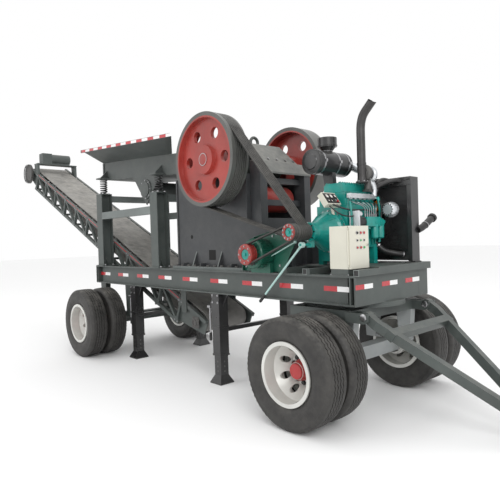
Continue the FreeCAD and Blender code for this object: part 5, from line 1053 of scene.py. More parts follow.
pulley_face("clutch_ring", -200, -885, 1820, 0.086, 0.048, "pto_pulley", 10)
pulley_face("generator_ring", -845, -888, 1600, 0.115, 0.062, "generator_rotor", 8)
guard_edge = bmesh.new()
outline = [(-1175, 1402), (-1175, 1610), (-965, 1790), (-620, 1860), (-370, 1880), (-330, 1780)]
for (x0, z0), (x1, z1) in zip(outline, outline[1:]):
    run = (place(x1, 0, z1) - place(x0, 0, z0)).normalized()
    inward = Vector((run.z, 0, -run.x)) * 0.006
    start, end = place(x0, -610, z0), place(x1, -610, z1)
    plate(guard_edge, [start, end, end + inward, start + inward], (0, -0.034, 0))
piece("guard_edges", guard_edge, [green_paint], "chassis", bevel=0.001)
guard_bolts = []
for x, z in ((-1140, 1450), (-1140, 1570), (-960, 1745), (-640, 1815), (-420, 1840), (-600, 1470),
             (-700, 1790)):
    guard_bolts.append((place(x, -613, z), Vector((0, -1, 0))))
bolted("guard_bolts", guard_bolts, 0.018, 0.007)
rods = bmesh.new()
pipe(rods, [place(-333, -650, 1722), place(-735, -650, 1556)], 0.0065, sides=8)
rod(rods, place(-333, -640, 1722), place(-333, -660, 1722), 0.016, sides=12)
rod(rods, place(-735, -640, 1556), place(-735, -660, 1556), 0.016, sides=12)
piece("tension_rod", rods, [lever_paint], "chassis")
grip = bmesh.new()
drop = math.radians(44.0)
tip = place(-200 - 890 * math.cos(drop), -700, 1690 - 890 * math.sin(drop))
back = (place(-200, -700, 1690) - tip).normalized()
turned(grip, tip + back * 0.004, back, [(0.0125, 0.0), (0.0165, 0.004), (0.0165, 0.120), (0.0125, 0.126)],
       sides=20)
piece("lever_grip", grip, [hose_rubber], "clutch_lever")

# %% [markdown]
# ## Generator
# A round machine with cooling fins along its body and an end bell with slots; the slots are small black discs,
# painted shade for the dark inside of each slot.

# %% Generator fins and slots
fins = bmesh.new()
GEN = (-845, 1600)
for i in range(40):
    t = 2 * math.pi * i / 40
    out = Vector((math.cos(t), 0, math.sin(t)))
    side_way = Vector((-math.sin(t), 0, math.cos(t)))
    if -2.3 < math.atan2(out.z, out.x) < -0.84:
        continue
    base = place(GEN[0], -770, GEN[1]) + out * 0.1585
    corners = [base - side_way * 0.002, base + side_way * 0.002, base + out * 0.016 + side_way * 0.0013,
               base + out * 0.016 - side_way * 0.0013]
    plate(fins, corners, (0, 0.090, 0))
turned(fins, place(GEN[0], -785, GEN[1]), (0, -1, 0),
       [(0.075, 0.0), (0.158, 0.0), (0.150, 0.012), (0.075, 0.016)])
piece("generator_fins", fins, [green_paint], "chassis")
# Small black discs round the end bell: painted shade where the vent slots show their dark inside.
bell_slot_shade = ring_spots(place(GEN[0], -799, GEN[1]), Y, 0.115, 16, facing=(0, -1, 0))
bolted("generator_slot_shade", bell_slot_shade, 0.016, 0.003, metal=hose_rubber, slot="black_paint")

# %% [markdown]
# ## Engine
# The engine is a row of cylinder heads over a ribbed crankcase. On its clutch-box side it carries the
# intake manifold, the injection pump with its pipes, spin-on filters and the starter. At the fan end are
# the alternator and the front pulleys with their belt.

# %% Heads, ribs and covers
EX, EY0, EY1 = -175, -240, 290
heads = bmesh.new()
PITCH_Y = 82
for i in range(6):
    y = EY0 + 38 + i * PITCH_Y
    block(heads, place(EX - 112, y, 2306), place(EX + 112, y + 64, 2330))
    block(heads, place(EX + 160, y - 4, 2096), place(EX + 178, y + 68, 2224))
    rod(heads, place(EX + 60, y + 32, 2330), place(EX + 60, y + 32, 2342), 0.012, sides=12)
for z in (2086, 2226):
    block(heads, place(EX - 176, EY0 + 6, z), place(EX + 182, EY1 - 6, z + 9))
piece("cylinder_heads", heads, [engine_paint], "chassis", bevel=0.006)
case = bmesh.new()
for i in range(9):
    y = EY0 + 14 + i * 58
    block(case, place(EX + 198, y, 1650), place(EX + 216, y + 13, 1826))
    block(case, place(EX - 216, y, 1650), place(EX - 198, y + 13, 1826))
block(case, place(EX - 212, EY0 + 4, 1640), place(EX + 212, EY1 - 4, 1656))
block(case, place(EX - 168, EY0 + 14, 1500), place(EX + 168, EY1 - 22, 1514))
block(case, place(EX + 225, EY0 + 60, 1836), place(EX + 240, EY1 - 80, 1852))
block(case, place(EX + 225, EY0 + 60, 1984), place(EX + 240, EY1 - 80, 1998))
for i in range(5):
    y = EY0 + 74 + i * 84
    block(case, place(EX + 228, y, 1864), place(EX + 238, y + 58, 1972))
piece("crankcase_ribs", case, [engine_paint], "chassis", bevel=0.004)
spots = []
spots += line_spots(place(EX + 184, EY0 + 30, 2094), place(EX + 184, EY1 - 30, 2094), 14, X)
spots += line_spots(place(EX + 213, EY0 + 20, 1648), place(EX + 213, EY1 - 20, 1648), 14, X)
spots += line_spots(place(EX + 90, EY0 + 44, 2334), place(EX + 90, EY1 - 52, 2334), 12, Z)
spots += line_spots(place(EX - 90, EY0 + 44, 2334), place(EX - 90, EY1 - 52, 2334), 12, Z)
for i in range(5):
    y = EY0 + 74 + i * 84
    for dy, z in ((8, 1874), (50, 1874), (8, 1962), (50, 1962)):
        spots.append((place(EX + 241, y + dy, z), X))
bolted("engine_bolts", spots, 0.016, 0.006, metal=engine_paint, slot="engine_paint")
bell = bmesh.new()
for i in range(12):
    t = 2 * math.pi * (i + 0.5) / 12
    out = Vector((math.cos(t), 0, math.sin(t)))
    wide = Vector((-math.sin(t), 0, math.cos(t))) * 0.006
    foot = place(CLUTCH_X, -331, CLUTCH_Z) + out * 0.196
    top = place(CLUTCH_X, -500, CLUTCH_Z) + out * 0.098
    low = place(CLUTCH_X, -331, CLUTCH_Z) + out * 0.12
    plate(bell, [foot - wide, top - wide, low - wide], wide * 2)
turned(bell, place(CLUTCH_X, -300, CLUTCH_Z), (0, -1, 0),
       [(0.200, -0.055), (0.222, -0.055), (0.222, -0.030), (0.200, -0.030)])
turned(bell, place(CLUTCH_X, -598, CLUTCH_Z), (0, -1, 0),
       [(0.045, -0.02), (0.100, -0.02), (0.100, 0.004), (0.045, 0.010)])
piece("bell_ribs", bell, [engine_paint], "chassis", bevel=0.002)
spots = ring_spots(place(CLUTCH_X, -274, CLUTCH_Z), Y, 0.213, 20, facing=(0, -1, 0))
spots += ring_spots(place(CLUTCH_X, -604, CLUTCH_Z), Y, 0.086, 8, facing=(0, -1, 0))
bolted("bell_bolts", spots, 0.017, 0.007)

# %% [markdown]
# On the side of the engine, thin steel pipes run from the pump up to each head. They are bent pipes with
# few sides, because they are small and there are many.

# %% Intake, pump, pipes and filters
side = bmesh.new()
block(side, place(EX + 186, EY0 + 20, 2160), place(EX + 236, EY1 - 40, 2206), paint=0)
for i in range(6):
    y = EY0 + 55 + i * PITCH_Y
    block(side, place(EX + 176, y, 2150), place(EX + 200, y + 44, 2214), paint=0)
pipe(side, [place(EX + 212, EY1 - 60, 2190), place(EX + 216, EY1 - 48, 2290),
            place(EX + 205, EY1 - 110, 2360),
            place(20, 170, 2400)], 0.034, paint=0, sides=18)
piece("intake_manifold", side, [bare_alu], "chassis", bevel=0.008)
pump = bmesh.new()
block(pump, place(EX + 236, -60, 1858), place(EX + 318, 190, 1960), paint=0)
rod(pump, place(EX + 277, 190, 1900), place(EX + 277, 250, 1900), 0.052, paint=0, sides=28)
rod(pump, place(EX + 277, -60, 1905), place(EX + 277, -112, 1905), 0.046, paint=0, sides=28)
for i in range(6):
    y = -38 + i * 40
    rod(pump, place(EX + 277, y, 1958), place(EX + 277, y, 1994), 0.010, paint=1, sides=10)
    head_y = EY0 + 70 + i * PITCH_Y
    pipe(pump, [place(EX + 277, y, 1992), place(EX + 280, y + 4, 2066), place(EX + 246, head_y - 20, 2112),
                place(EX + 190, head_y, 2128)], 0.0052, paint=1, sides=8)
piece("injection_pump", pump, [engine_paint, steel], "chassis", bevel=0.004)
filters = bmesh.new()
for y, z in ((232, 1730), (128, 1728)):
    turned(filters, place(EX + 276, y, z), Z, [(0.0, 0.0), (0.030, 0.0), (0.045, 0.012), (0.046, 0.150),
                                              (0.040, 0.162), (0.0, 0.162)], paint=0, sides=32)
    block(filters, place(EX + 205, y - 40, z + 162), place(EX + 322, y + 40, z + 196), paint=0)
turned(filters, place(EX + 262, -40, 1640), Z, [(0.0, 0.0), (0.036, 0.0), (0.052, 0.014), (0.053, 0.176),
                                             (0.046, 0.190), (0.0, 0.190)], paint=0, sides=32)
block(filters, place(EX + 200, -84, 1830), place(EX + 316, 4, 1850), paint=0)
piece("spin_on_filters", filters, [engine_paint], "chassis", bevel=0.003)
starter = bmesh.new()
turned(starter, place(EX + 285, -236, 1905), Y, [(0.0, 0.0), (0.050, 0.0), (0.058, 0.012), (0.058, 0.135),
                                              (0.048, 0.150), (0.0, 0.152)], paint=0, sides=36)
turned(starter, place(EX + 285, -226, 1988), Y, [(0.0, 0.0), (0.026, 0.0), (0.029, 0.008), (0.029, 0.095),
                                              (0.020, 0.104), (0.0, 0.106)], paint=1, sides=28)
block(starter, place(EX + 225, -238, 1840), place(EX + 345, -220, 2020), paint=1)
piece("starter", starter, [hose_rubber, bare_alu], "chassis", bevel=0.002)
lines = bmesh.new()
pipe(lines, [place(-60, -420, 2110), place(60, -330, 2040), place(80, -150, 2030), place(84, 60, 2040),
             place(92, 200, 1960), place(96, 262, 1850)], 0.009, paint=0, sides=8)
pipe(lines, [place(-60, -440, 2090), place(40, -380, 1980), place(100, -250, 1960), place(112, -190, 1990)],
     0.007, paint=0, sides=8)
pipe(lines, [place(104, 232, 1900), place(130, 236, 2000), place(110, 262, 2120), place(30, 262, 2180)],
     0.008,
     paint=0, sides=8)
pipe(lines, [place(92, -100, 1905), place(150, -110, 1840), place(140, -60, 1700), place(100, -40, 1660)],
     0.008,
     paint=0, sides=8)
piece("engine_cables", lines, [hose_rubber], "chassis")
thin = bmesh.new()
pipe(thin, [place(70, -200, 2010), place(78, -60, 2046), place(76, 90, 2040), place(72, 230, 2064)], 0.006,
     sides=8)
pipe(thin, [place(66, 150, 2060), place(88, 160, 1990), place(82, 170, 1900), place(88, 180, 1740)], 0.008,
     sides=8)
pipe(thin, [place(68, 262, 2180), place(90, 270, 2040), place(84, 272, 1800), place(66, 262, 1690)], 0.016,
     sides=12)
pipe(thin, [place(60, -235, 2120), place(86, -250, 2000), place(90, -246, 1780), place(70, -232, 1680)],
     0.011,
     sides=10)
piece("engine_pipes", thin, [engine_paint], "chassis")
print("engine side dressed")

# %% [markdown]
# The turbocharger has a snail-shaped compressor house and a turbine house on one centre, with a bearing
# core between. A wide pipe bends over the head to the air filter.

# %% Turbocharger
def snail(draft, centre, axis, radius, tube_radius, paint, squeeze=0.55, steps=36, sides=16):
    """A volute: a ring whose section swells on its way round and leaves along a straight mouth."""
    a, b = across(Vector(axis))
    rings = []
    for i in range(steps + 1):
        t = 2 * math.pi * i / steps
        out = a * math.cos(t) + b * math.sin(t)
        size = tube_radius * (squeeze + (1 - squeeze) * i / steps)
        hub = Vector(centre) + out * (radius - tube_radius + size)
        rings.append([hub + (out * math.cos(s) + Vector(axis).normalized() * math.sin(s)) * size
                      for s in (2 * math.pi * k / sides for k in range(sides))])
    forward = b
    for reach in (0.03, 0.075):
        rings.append([point + forward * reach for point in rings[steps]])
    faces_from(draft, rings, True, paint)


turbo = bmesh.new()
TURBO = (20, 150, 2430)
snail(turbo, place(TURBO[0], TURBO[1] + 42, TURBO[2]), (0, 1, 0), 0.066, 0.036, 0)
turned(turbo, place(TURBO[0], TURBO[1] + 30, TURBO[2]), Y, [(0.0, -0.01), (0.074, -0.01), (0.078, 0.01),
                                                        (0.060, 0.034), (0.048, 0.046), (0.0, 0.048)],
                                                        paint=0)
snail(turbo, place(TURBO[0], TURBO[1] - 45, TURBO[2]), (0, -1, 0), 0.060, 0.038, 1)
turned(turbo, place(TURBO[0], TURBO[1] - 40, TURBO[2]), Y, [(0.0, -0.040), (0.044, -0.040), (0.058, -0.02),
                                                        (0.066, 0.012), (0.034, 0.022), (0.034, 0.076),
                                                        (0.0, 0.076)], paint=1)
for i in range(8):
    t = 2 * math.pi * i / 8
    rod(turbo, place(TURBO[0] + 58 * math.cos(t), TURBO[1] + 10, TURBO[2] + 58 * math.sin(t)),
        place(TURBO[0] + 58 * math.cos(t), TURBO[1] + 22, TURBO[2] + 58 * math.sin(t)), 0.007, paint=2,
        sides=6)
block(turbo, place(-20, 110, 2236), place(62, 190, 2262), paint=1)
rod(turbo, place(20, 150, 2260), place(20, 150, 2380), 0.040, paint=1, sides=24, end_radius=0.034)
pipe(turbo, [place(22, 196, 2432), place(-20, 232, 2440), place(-250, 238, 2556), place(-330, 236, 2568)],
     0.046, paint=0, sides=24)
rod(turbo, place(FILTER_X, 190, FILTER_Z), place(FILTER_X, 250, FILTER_Z), 0.060, paint=3, sides=28)
piece("turbo_unit", turbo, [bare_alu, cast_iron, steel, hose_rubber], "chassis",
      stands_for=["turbocharger"])
clamp_rings = bmesh.new()
rod(clamp_rings, place(20, 198, 2432), place(20, 206, 2432), 0.049, sides=28)
turned(clamp_rings, place(FILTER_X, 205, FILTER_Z), Y,
       [(0.058, 0.0), (0.063, 0.0), (0.063, 0.012), (0.058, 0.012)])
piece("duct_clamps", clamp_rings, [steel], "chassis")

# %% [markdown]
# The alternator is turned from one profile, with short fins set round it and a fan belt over its pulley.

# %% Alternator and belt
alt = bmesh.new()
ALT = (200, 312, 2036)
turned(alt, place(*ALT), Y, [(0.0, -0.076), (0.060, -0.076), (0.074, -0.060), (0.078, -0.030), (0.078, 0.022),
                            (0.070, 0.040), (0.030, 0.046), (0.030, 0.060), (0.0, 0.060)], paint=0, sides=40)
turned(alt, place(ALT[0], ALT[1] + 52, ALT[2]), Y,
       [(0.0, 0.0), (0.040, 0.0), (0.036, 0.008), (0.040, 0.016), (0.0, 0.016)],
       paint=1, sides=32)
for i in range(14):
    t = 2 * math.pi * i / 14
    centre = place(ALT[0] + 60 * math.cos(t), ALT[1] - 77, ALT[2] + 60 * math.sin(t))
    rod(alt, centre, centre - Y * 0.0015, 0.008, paint=2, sides=10)
for i in range(18):
    t = 2 * math.pi * i / 18
    out = Vector((math.cos(t), 0, math.sin(t)))
    wide = Vector((-math.sin(t), 0, math.cos(t))) * 0.0025
    base = place(ALT[0], ALT[1] - 30, ALT[2]) + out * 0.077
    plate(alt, [base - wide, base + wide, base + out * 0.006 + wide, base + out * 0.006 - wide],
          (0, 0.052, 0))
block(alt, place(EX + 225, 256, 1990), place(ALT[0], 276, 2012), paint=1)
block(alt, place(EX + 160, 262, 2082), place(ALT[0] + 10, 276, 2104), paint=1)
piece("alternator", alt, [bare_alu, cast_iron, hose_rubber], "chassis", bevel=0.001)


def belt_round(draft, wheels, y, width, thick, paint=0):
    """A fan belt round two wheels, given as (x, z, radius)."""
    (xa, za, ra), (xb, zb, rb) = wheels
    run = math.atan2(zb - za, xb - xa)
    lean = math.acos((ra - rb) / math.hypot(xb - xa, zb - za))
    loops = []
    for grow in (0, thick):
        points = []
        for i in range(13):
            t = run + lean + (2 * math.pi - 2 * lean) * i / 12
            points.append((xa + (ra + grow) * math.cos(t), za + (ra + grow) * math.sin(t)))
        for i in range(13):
            t = run - lean + 2 * lean * i / 12
            points.append((xb + (rb + grow) * math.cos(t), zb + (rb + grow) * math.sin(t)))
        loops.append(points)
    inner, outer = loops
    rows = []
    for (xi, zi), (xo, zo) in zip(inner, outer):
        rows.append([draft.verts.new(place(xi, y, zi)), draft.verts.new(place(xo, y, zo)),
                     draft.verts.new(place(xo, y + width, zo)), draft.verts.new(place(xi, y + width, zi))])
    for i in range(len(rows)):
        now, after = rows[i], rows[(i + 1) % len(rows)]
        for j in range(4):
            k = (j + 1) % 4
            draft.faces.new((now[j], now[k], after[k], after[j])).material_index = paint


front_drive = bmesh.new()
turned(front_drive, place(EX, 292, 1960), Y, [(0.021, 0.0), (0.062, 0.0), (0.062, 0.034), (0.021, 0.034)],
       sides=36)
turned(front_drive, place(EX, 290, 1690), Y, [(0.0, 0.0), (0.095, 0.0), (0.095, 0.044), (0.04, 0.05),
                                              (0.0, 0.05)],
       sides=40)
piece("front_pulleys", front_drive, [cast_iron], "chassis")
fan_belt = bmesh.new()
belt_round(fan_belt, ((EX, 1690, 96), (ALT[0], ALT[2], 38)), 344 - 34, 12, 7)
piece("fan_belt", fan_belt, [hose_rubber], "chassis")

# %% [markdown]
# ## Radiator and its hoses
# The radiator is a finned core in a black frame, with a filler cap, a thick top hose, a lower hose with
# bright clamps and a short black duct at the side.

# %% Core, cap and hoses
fin_spots = line_spots(place(-336, 459, 1950), place(306, 459, 1950), 54, (0, -1, 0))
fin_spots += line_spots(place(-336, 551, 1950), place(306, 551, 1950), 54, (0, 1, 0))
grown("radiator_fins", plates, fin_spots, radiator_dark, "chassis", "black_paint", Size=(0.004, 0.005, 0.70))
core_rows = []
for k in range(15):
    for y, out in ((456, -1), (554, 1)):
        core_rows.append((place(-15, y, 1620 + 47 * k), Vector((0, out, 0))))
grown("radiator_tubes", plates, core_rows, radiator_dark, "chassis", "black_paint",
      Size=(0.005, 0.660, 0.006))
rad = bmesh.new()
turned(rad, place(-60, 505, 2384), Z, [(0.0, 0.0), (0.034, 0.0), (0.034, 0.008), (0.040, 0.010),
                                       (0.040, 0.020),
                                      (0.0, 0.022)], sides=28)
for x in (-398, 322):
    for z in (1500, 1900, 2300):
        block(rad, place(x - 4, 424, z), place(x + 50, 430, z + 60))
for x in (-424, 370):
    block(rad, place(x, 440, 1463), place(x + 24, 570, 1475))
block(rad, place(-400, 424, 2350), place(370, 430, 2386))
for x in (-385, 335):
    rod(rad, place(x + 15, 436, 1468), place(x + 15, 320, 1468), 0.008, sides=10)
piece("radiator_frame", rad, [black_paint], "chassis", bevel=0.0015)
hoses = bmesh.new()
pipe(hoses, [place(40, 262, 2238), place(60, 290, 2330), place(70, 350, 2372), place(120, 420, 2352),
             place(150, 446, 2340)], 0.030, sides=20)
pipe(hoses, [place(36, 240, 2270), place(120, 300, 2330), place(200, 380, 2360), place(240, 440, 2350)],
     0.024,
     sides=18)
pipe(hoses, [place(20, 270, 1690), place(90, 300, 1590), place(200, 360, 1560), place(260, 440, 1545)], 0.032,
     sides=20)
pipe(hoses, [place(368, 560, 1810), place(392, 620, 1836), place(400, 760, 1912), place(400, 812, 1938)],
     0.038,
     sides=22)
turned(hoses, place(400, 800, 1931), Vector((0, 0.89, 0.45)), [(0.038, 0.0), (0.050, 0.004), (0.050, 0.034),
                                                            (0.030, 0.036), (0.028, 0.0)])
piece("coolant_hoses", hoses, [hose_rubber], "chassis")
clamps = bmesh.new()
for centre, axis, radius in ((place(118, 418, 2353), Vector((0.5, 0.85, -0.2)), 0.031),
                             (place(250, 424, 1549), Vector((0.6, 0.8, -0.15)), 0.033),
                             (place(44, 280, 1656), Vector((0.55, 0.25, -0.78)), 0.033),
                             (place(396, 660, 1858), Vector((0.05, 0.89, 0.45)), 0.0395)):
    turned(clamps, centre, axis, [(radius - 0.002, 0.0), (radius + 0.002, 0.0), (radius + 0.002, 0.012),
                                  (radius - 0.002, 0.012)], sides=28)
piece("hose_clamps", clamps, [steel], "chassis")

# %% [markdown]
# ## Air filter and exhaust
# The filter is a long black canister with bright bands, a domed end and a pre-cleaner with vents on top.
# The exhaust rises from the turbine, bends over in one smooth curve and ends in a slanted cut.

# %% Filter
can = bmesh.new()
turned(can, place(FILTER_X, -360, FILTER_Z), (0, -1, 0),
       [(0.0, -0.01), (0.134, -0.01), (0.134, 0.004), (0.120, 0.010),
                                                 (0.086, 0.012), (0.078, 0.022), (0.0, 0.024)], sides=56)
for y in (-336, -318, 150, 168):
    turned(can, place(FILTER_X, y, FILTER_Z), Y,
           [(0.130, 0.0), (0.1350, 0.002), (0.1350, 0.008), (0.130, 0.010)], sides=56)
turned(can, place(-330, -85, 2690), Z, [(0.044, 0.0), (0.056, 0.004), (0.056, 0.030), (0.047, 0.036),
                                        (0.047, 0.062),
                                       (0.110, 0.070), (0.110, 0.078), (0.106, 0.080)], sides=48)
turned(can, place(-330, -85, 2770), Z, [(0.0, -0.002), (0.1062, -0.002), (0.1062, 0.010), (0.100, 0.012),
                                       (0.100, 0.052), (0.1062, 0.054), (0.1062, 0.066), (0.088, 0.080),
                                       (0.0, 0.080)], sides=48)
rod(can, place(-330, -85, 2845), place(-330, -85, 2866), 0.014, sides=16)
piece("filter_shapes", can, [black_paint], "chassis", bevel=0.001)
grown("precleaner_vents", plates, ring_spots(place(-330, -85, 2802), Z, 0.1015, 24), hose_rubber, "chassis",
      "black_paint", Size=(0.006, 0.012, 0.036))
bands = bmesh.new()
for y in (-290, -40, 130):
    turned(bands, place(FILTER_X, y, FILTER_Z), Y,
           [(0.131, 0.0), (0.1348, 0.0), (0.1348, 0.020), (0.131, 0.020)], sides=56)
    block(bands, place(-330 + 128, y - 3, 2560), place(-330 + 150, y + 23, 2592))
turned(bands, place(-330, -85, 2706), Z, [(0.048, 0.0), (0.0585, 0.0), (0.0585, 0.012), (0.048, 0.012)],
       sides=40)
piece("filter_bands", bands, [steel], "chassis", bevel=0.0008)

# %% [markdown]
# The stack is an open pipe, so it has an inner skin as well. Its last ring is tilted, which makes the
# slanted cut at the top.

# %% Exhaust
def slanted_stack(draft, route, radius, wall, slant):
    """An open pipe whose far end is cut at a slant, with its inside skinned for some way back."""
    route = rounded(route, 4, 0.22)
    direction = (route[1] - route[0]).normalized()
    a, b = across(direction)
    frames_along = []
    for index, point in enumerate(route):
        before, after = route[max(index - 1, 0)], route[min(index + 1, len(route) - 1)]
        tangent = (after - before).normalized()
        swing = direction.rotation_difference(tangent)
        a, b = swing @ a, swing @ b
        direction = tangent
        frames_along.append((point, a.copy(), b.copy(), tangent))
    sides = 32

    def ring(entry, size, cut):
        point, first, second, tangent = entry
        made = []
        for i in range(sides):
            t = 2 * math.pi * i / sides
            offset = (first * math.cos(t) + second * math.sin(t)) * size
            made.append(point + offset + tangent * (cut * offset.z))
        return made

    rings = [ring(entry, radius, 0.0) for entry in frames_along[:-2]]
    rings.append(ring(frames_along[-1], radius, slant))
    rings.append(ring(frames_along[-1], radius - wall, slant))
    rings += [ring(entry, radius - wall, 0.0) for entry in reversed(frames_along[-12:-3])]
    faces_from(draft, rings, True, 0)


stack = bmesh.new()
slanted_stack(stack, [place(10, 60, 2348), place(10, 60, 2700), place(10, 60, 3020), place(160, 60, 3170)],
              0.046, 0.005, -0.62)
turned(stack, place(10, 60, 2330), Z, [(0.0, 0.0), (0.065, 0.0), (0.065, 0.014), (0.050, 0.016),
                                       (0.046, 0.060),
                                      (0.0, 0.060)], sides=40)
pipe(stack, [place(10, 60, 2345), place(6, 70, 2376), place(14, 92, 2424), place(20, 100, 2430)], 0.041,
     sides=24)
turned(stack, place(10, 60, 2520), Z, [(0.045, 0.0), (0.0505, 0.0), (0.0505, 0.026), (0.045, 0.026)],
       sides=40)
piece("exhaust_pipe", stack, [stack_paint], "chassis", stands_for=["exhaust_stack"])
stack_bolts = ring_spots(place(10, 60, 2346), Z, 0.056, 6, facing=(0, 0, 1))
bolted("exhaust_bolts", stack_bolts, 0.014, 0.006)

# %% [markdown]
# ## Instrument panel
# A cream panel leans back over the clutch housing, with a black face plate, round gauges with white
# dials and red needles, and a key switch. The marks are plain strokes.

# %% Gauges
LEAN = math.radians(-35)
panel_out = Vector((math.cos(LEAN), 0, -math.sin(LEAN)))
panel_up = Vector((math.sin(LEAN), 0, math.cos(LEAN)))
panel_mid = place(-90, -380, 2140) + panel_out * 0.030


def on_panel(across_y, up, out=0.0):
    return panel_mid + Y * across_y + panel_up * up + panel_out * out


gauges = bmesh.new()
plate(gauges, [on_panel(-0.098, -0.064, 0.0005), on_panel(0.098, -0.064, 0.0005),
               on_panel(0.098, 0.064, 0.0005),
               on_panel(-0.098, 0.064, 0.0005)], panel_out * 0.002)
DIALS = ((-0.062, 0.022, 0.029), (0.004, 0.022, 0.029), (0.068, 0.026, 0.024), (-0.070, -0.038, 0.018),
         (-0.024, -0.038, 0.018))
for y, z, radius in DIALS:
    turned(gauges, on_panel(y, z, 0.002), panel_out, [(0.0, 0.0), (radius, 0.0), (radius, 0.010),
                                                     (radius - 0.004, 0.013), (radius - 0.005, 0.006),
                                                     (0.0, 0.006)], paint=1, sides=32)
    turned(gauges, on_panel(y, z, 0.0082), panel_out,
           [(0.0, 0.0), (radius - 0.006, 0.0), (radius - 0.006, 0.0006),
                                                      (0.0, 0.0006)], paint=2, sides=32)
    for k in range(9):
        t = math.radians(-40 + 32.5 * k)
        ray = Y * math.cos(t) + panel_up * math.sin(t)
        side_way = Y * -math.sin(t) + panel_up * math.cos(t)
        base = on_panel(y, z, 0.0088)
        inner_end, outer_end = base + ray * (radius * 0.52), base + ray * (radius * 0.70)
        plate(gauges, [inner_end - side_way * 0.0006, inner_end + side_way * 0.0006,
                       outer_end + side_way * 0.0006, outer_end - side_way * 0.0006], panel_out * 0.0004,
                       paint=0)
    needle = Y * math.cos(2.3) + panel_up * math.sin(2.3)
    rod(gauges, on_panel(y, z, 0.0095), on_panel(y, z, 0.0095) + needle * radius * 0.62, 0.0008, paint=3,
        sides=6)
rod(gauges, on_panel(0.030, -0.038, 0.002), on_panel(0.030, -0.038, 0.020), 0.011, paint=4, sides=20)
rod(gauges, on_panel(0.070, -0.038, 0.002), on_panel(0.070, -0.038, 0.016), 0.012, paint=3, sides=20)
piece("panel_gauges", gauges, [hose_rubber, black_paint, dial_white, cap_red, steel], "chassis")

# %% [markdown]
# ## Control box
# The door carries three rows of push buttons and lamps, a key lock and a rubber seal. The hinges are on
# the near edge. The box stands on a dark foot with four bolts.

# %% Buttons, lock and foot
DOOR_X = 350
buttons = bmesh.new()
ROWS = ((0.165, ((0.38, 0, 12), (0.56, 1, 12), (0.74, 1, 12))),
        (0.34, ((0.38, 0, 8), (0.56, 2, 8), (0.74, 0, 8))),
        (0.51, ((0.38, 1, 10), (0.56, 1, 12), (0.74, 2, 10))))
for down, row in ROWS:
    for over, paint, size in row:
        spot = place(DOOR_X, -654 + 304 * over, 1860 - 405 * down)
        turned(buttons, spot, X, [(0.0, 0.0), (size / 1000 + 0.005, 0.0), (size / 1000 + 0.005, 0.003),
                                  (size / 1000 + 0.001, 0.005), (0.0, 0.005)], paint=3, sides=24)
        turned(buttons, spot, X, [(0.0, 0.004), (size / 1000, 0.004), (size / 1000, 0.011),
                                  (size / 1000 - 0.002, 0.013), (0.0, 0.0135)], paint=paint, sides=24)
piece("door_buttons", buttons, [hose_rubber, cap_red, button_green, steel], "box_door")
lock = bmesh.new()
turned(lock, place(362, -376, 1677.75), X, [(0.0, 0.0), (0.0105, 0.0), (0.0095, 0.003), (0.0, 0.003)],
       sides=24)
block(lock, place(364.6, -377.2, 1670), place(365.6, -374.8, 1685), paint=1)
piece("door_lock", lock, [steel, hose_rubber], "box_door")
seal = bmesh.new()
for low_corner, high_corner in (((330.2, -652, 1457), (331.9, -642, 1858)),
                                ((330.2, -362, 1457), (331.9, -352, 1858)),
                                ((330.2, -652, 1457), (331.9, -352, 1466)),
                                ((330.2, -652, 1849), (331.9, -352, 1858))):
    block(seal, place(*low_corner), place(*high_corner))
piece("door_seal", seal, [hose_rubber], "box_door")
foot = bmesh.new()
block(foot, place(118, -662, 1391), place(332, -348, 1399))
for y in (-600, -500, -410):
    rod(foot, place(200, y, 1456), place(200, y, 1440), 0.010, sides=12)
pipe(foot, [place(225, -345, 1500), place(225, -318, 1490), place(200, -300, 1480), place(120, -296, 1474)],
     0.010, sides=10)
pipe(foot, [place(180, -346, 1520), place(180, -322, 1508), place(120, -280, 1484), place(40, -262, 1476)],
     0.008, sides=10)
piece("box_foot", foot, [frame_paint], "chassis", bevel=0.001)
grown("foot_bolts", bolts, [(place(x, y, 1401), Z) for x in (122, 328) for y in (-655, -355)], steel,
      "chassis",
      "steel", Width=0.012, Height=0.006)

# %% [markdown]
# ## Deck, beams, legs and dolly
# The beams carry stiffeners and a few plates, and the legs have winding gearboxes with bolted covers.
# What slides or swings with a leg or its crank is a piece of its own and rides on that body.

# %% Beams and legs
deck = bmesh.new()
for side in (-1, 1):
    for x in (-4440, -3400, -2640, -1250, -320, 180):
        if side > 0:
            block(deck, place(x - 5, 609, 1123), place(x + 5, 655, 1373))
    block(deck, place(-4949, side * 650, 1390), place(405, side * 664, 1394))
block(deck, place(395, 470, 1125), place(406, 560, 1372))
block(deck, place(395, -662, 1125), place(406, -652, 1372))
block(deck, place(-330, -608, 1330), place(-250, -610.5, 1372))
piece("beam_plates", deck, [frame_paint], "chassis", bevel=0.001)
tube_end = bmesh.new()
for x in (-235, 390):
    for wide in ((x, -666, 1390.5, x + 60, -660, 1396), (x, -666, 1444, x + 60, -660, 1450),
                 (x, -666, 1396, x + 6, -660, 1444), (x + 54, -666, 1396, x + 60, -660, 1444)):
        block(tube_end, place(wide[0], wide[1], wide[2]), place(wide[3], wide[4], wide[5]))
piece("tube_ends", tube_end, [rail_paint], "chassis")
# Black plates set inside the open tube ends are painted shade for the dark inside of the tubes.
tube_shade_draft = bmesh.new()
for x in (-235, 390):
    block(tube_shade_draft, place(x + 6, -661.5, 1396), place(x + 54, -659, 1444))
piece("tube_end_shade", tube_shade_draft, [hose_rubber], "chassis")
LEGS = (-1675, -3705)
leg_bits = bmesh.new()
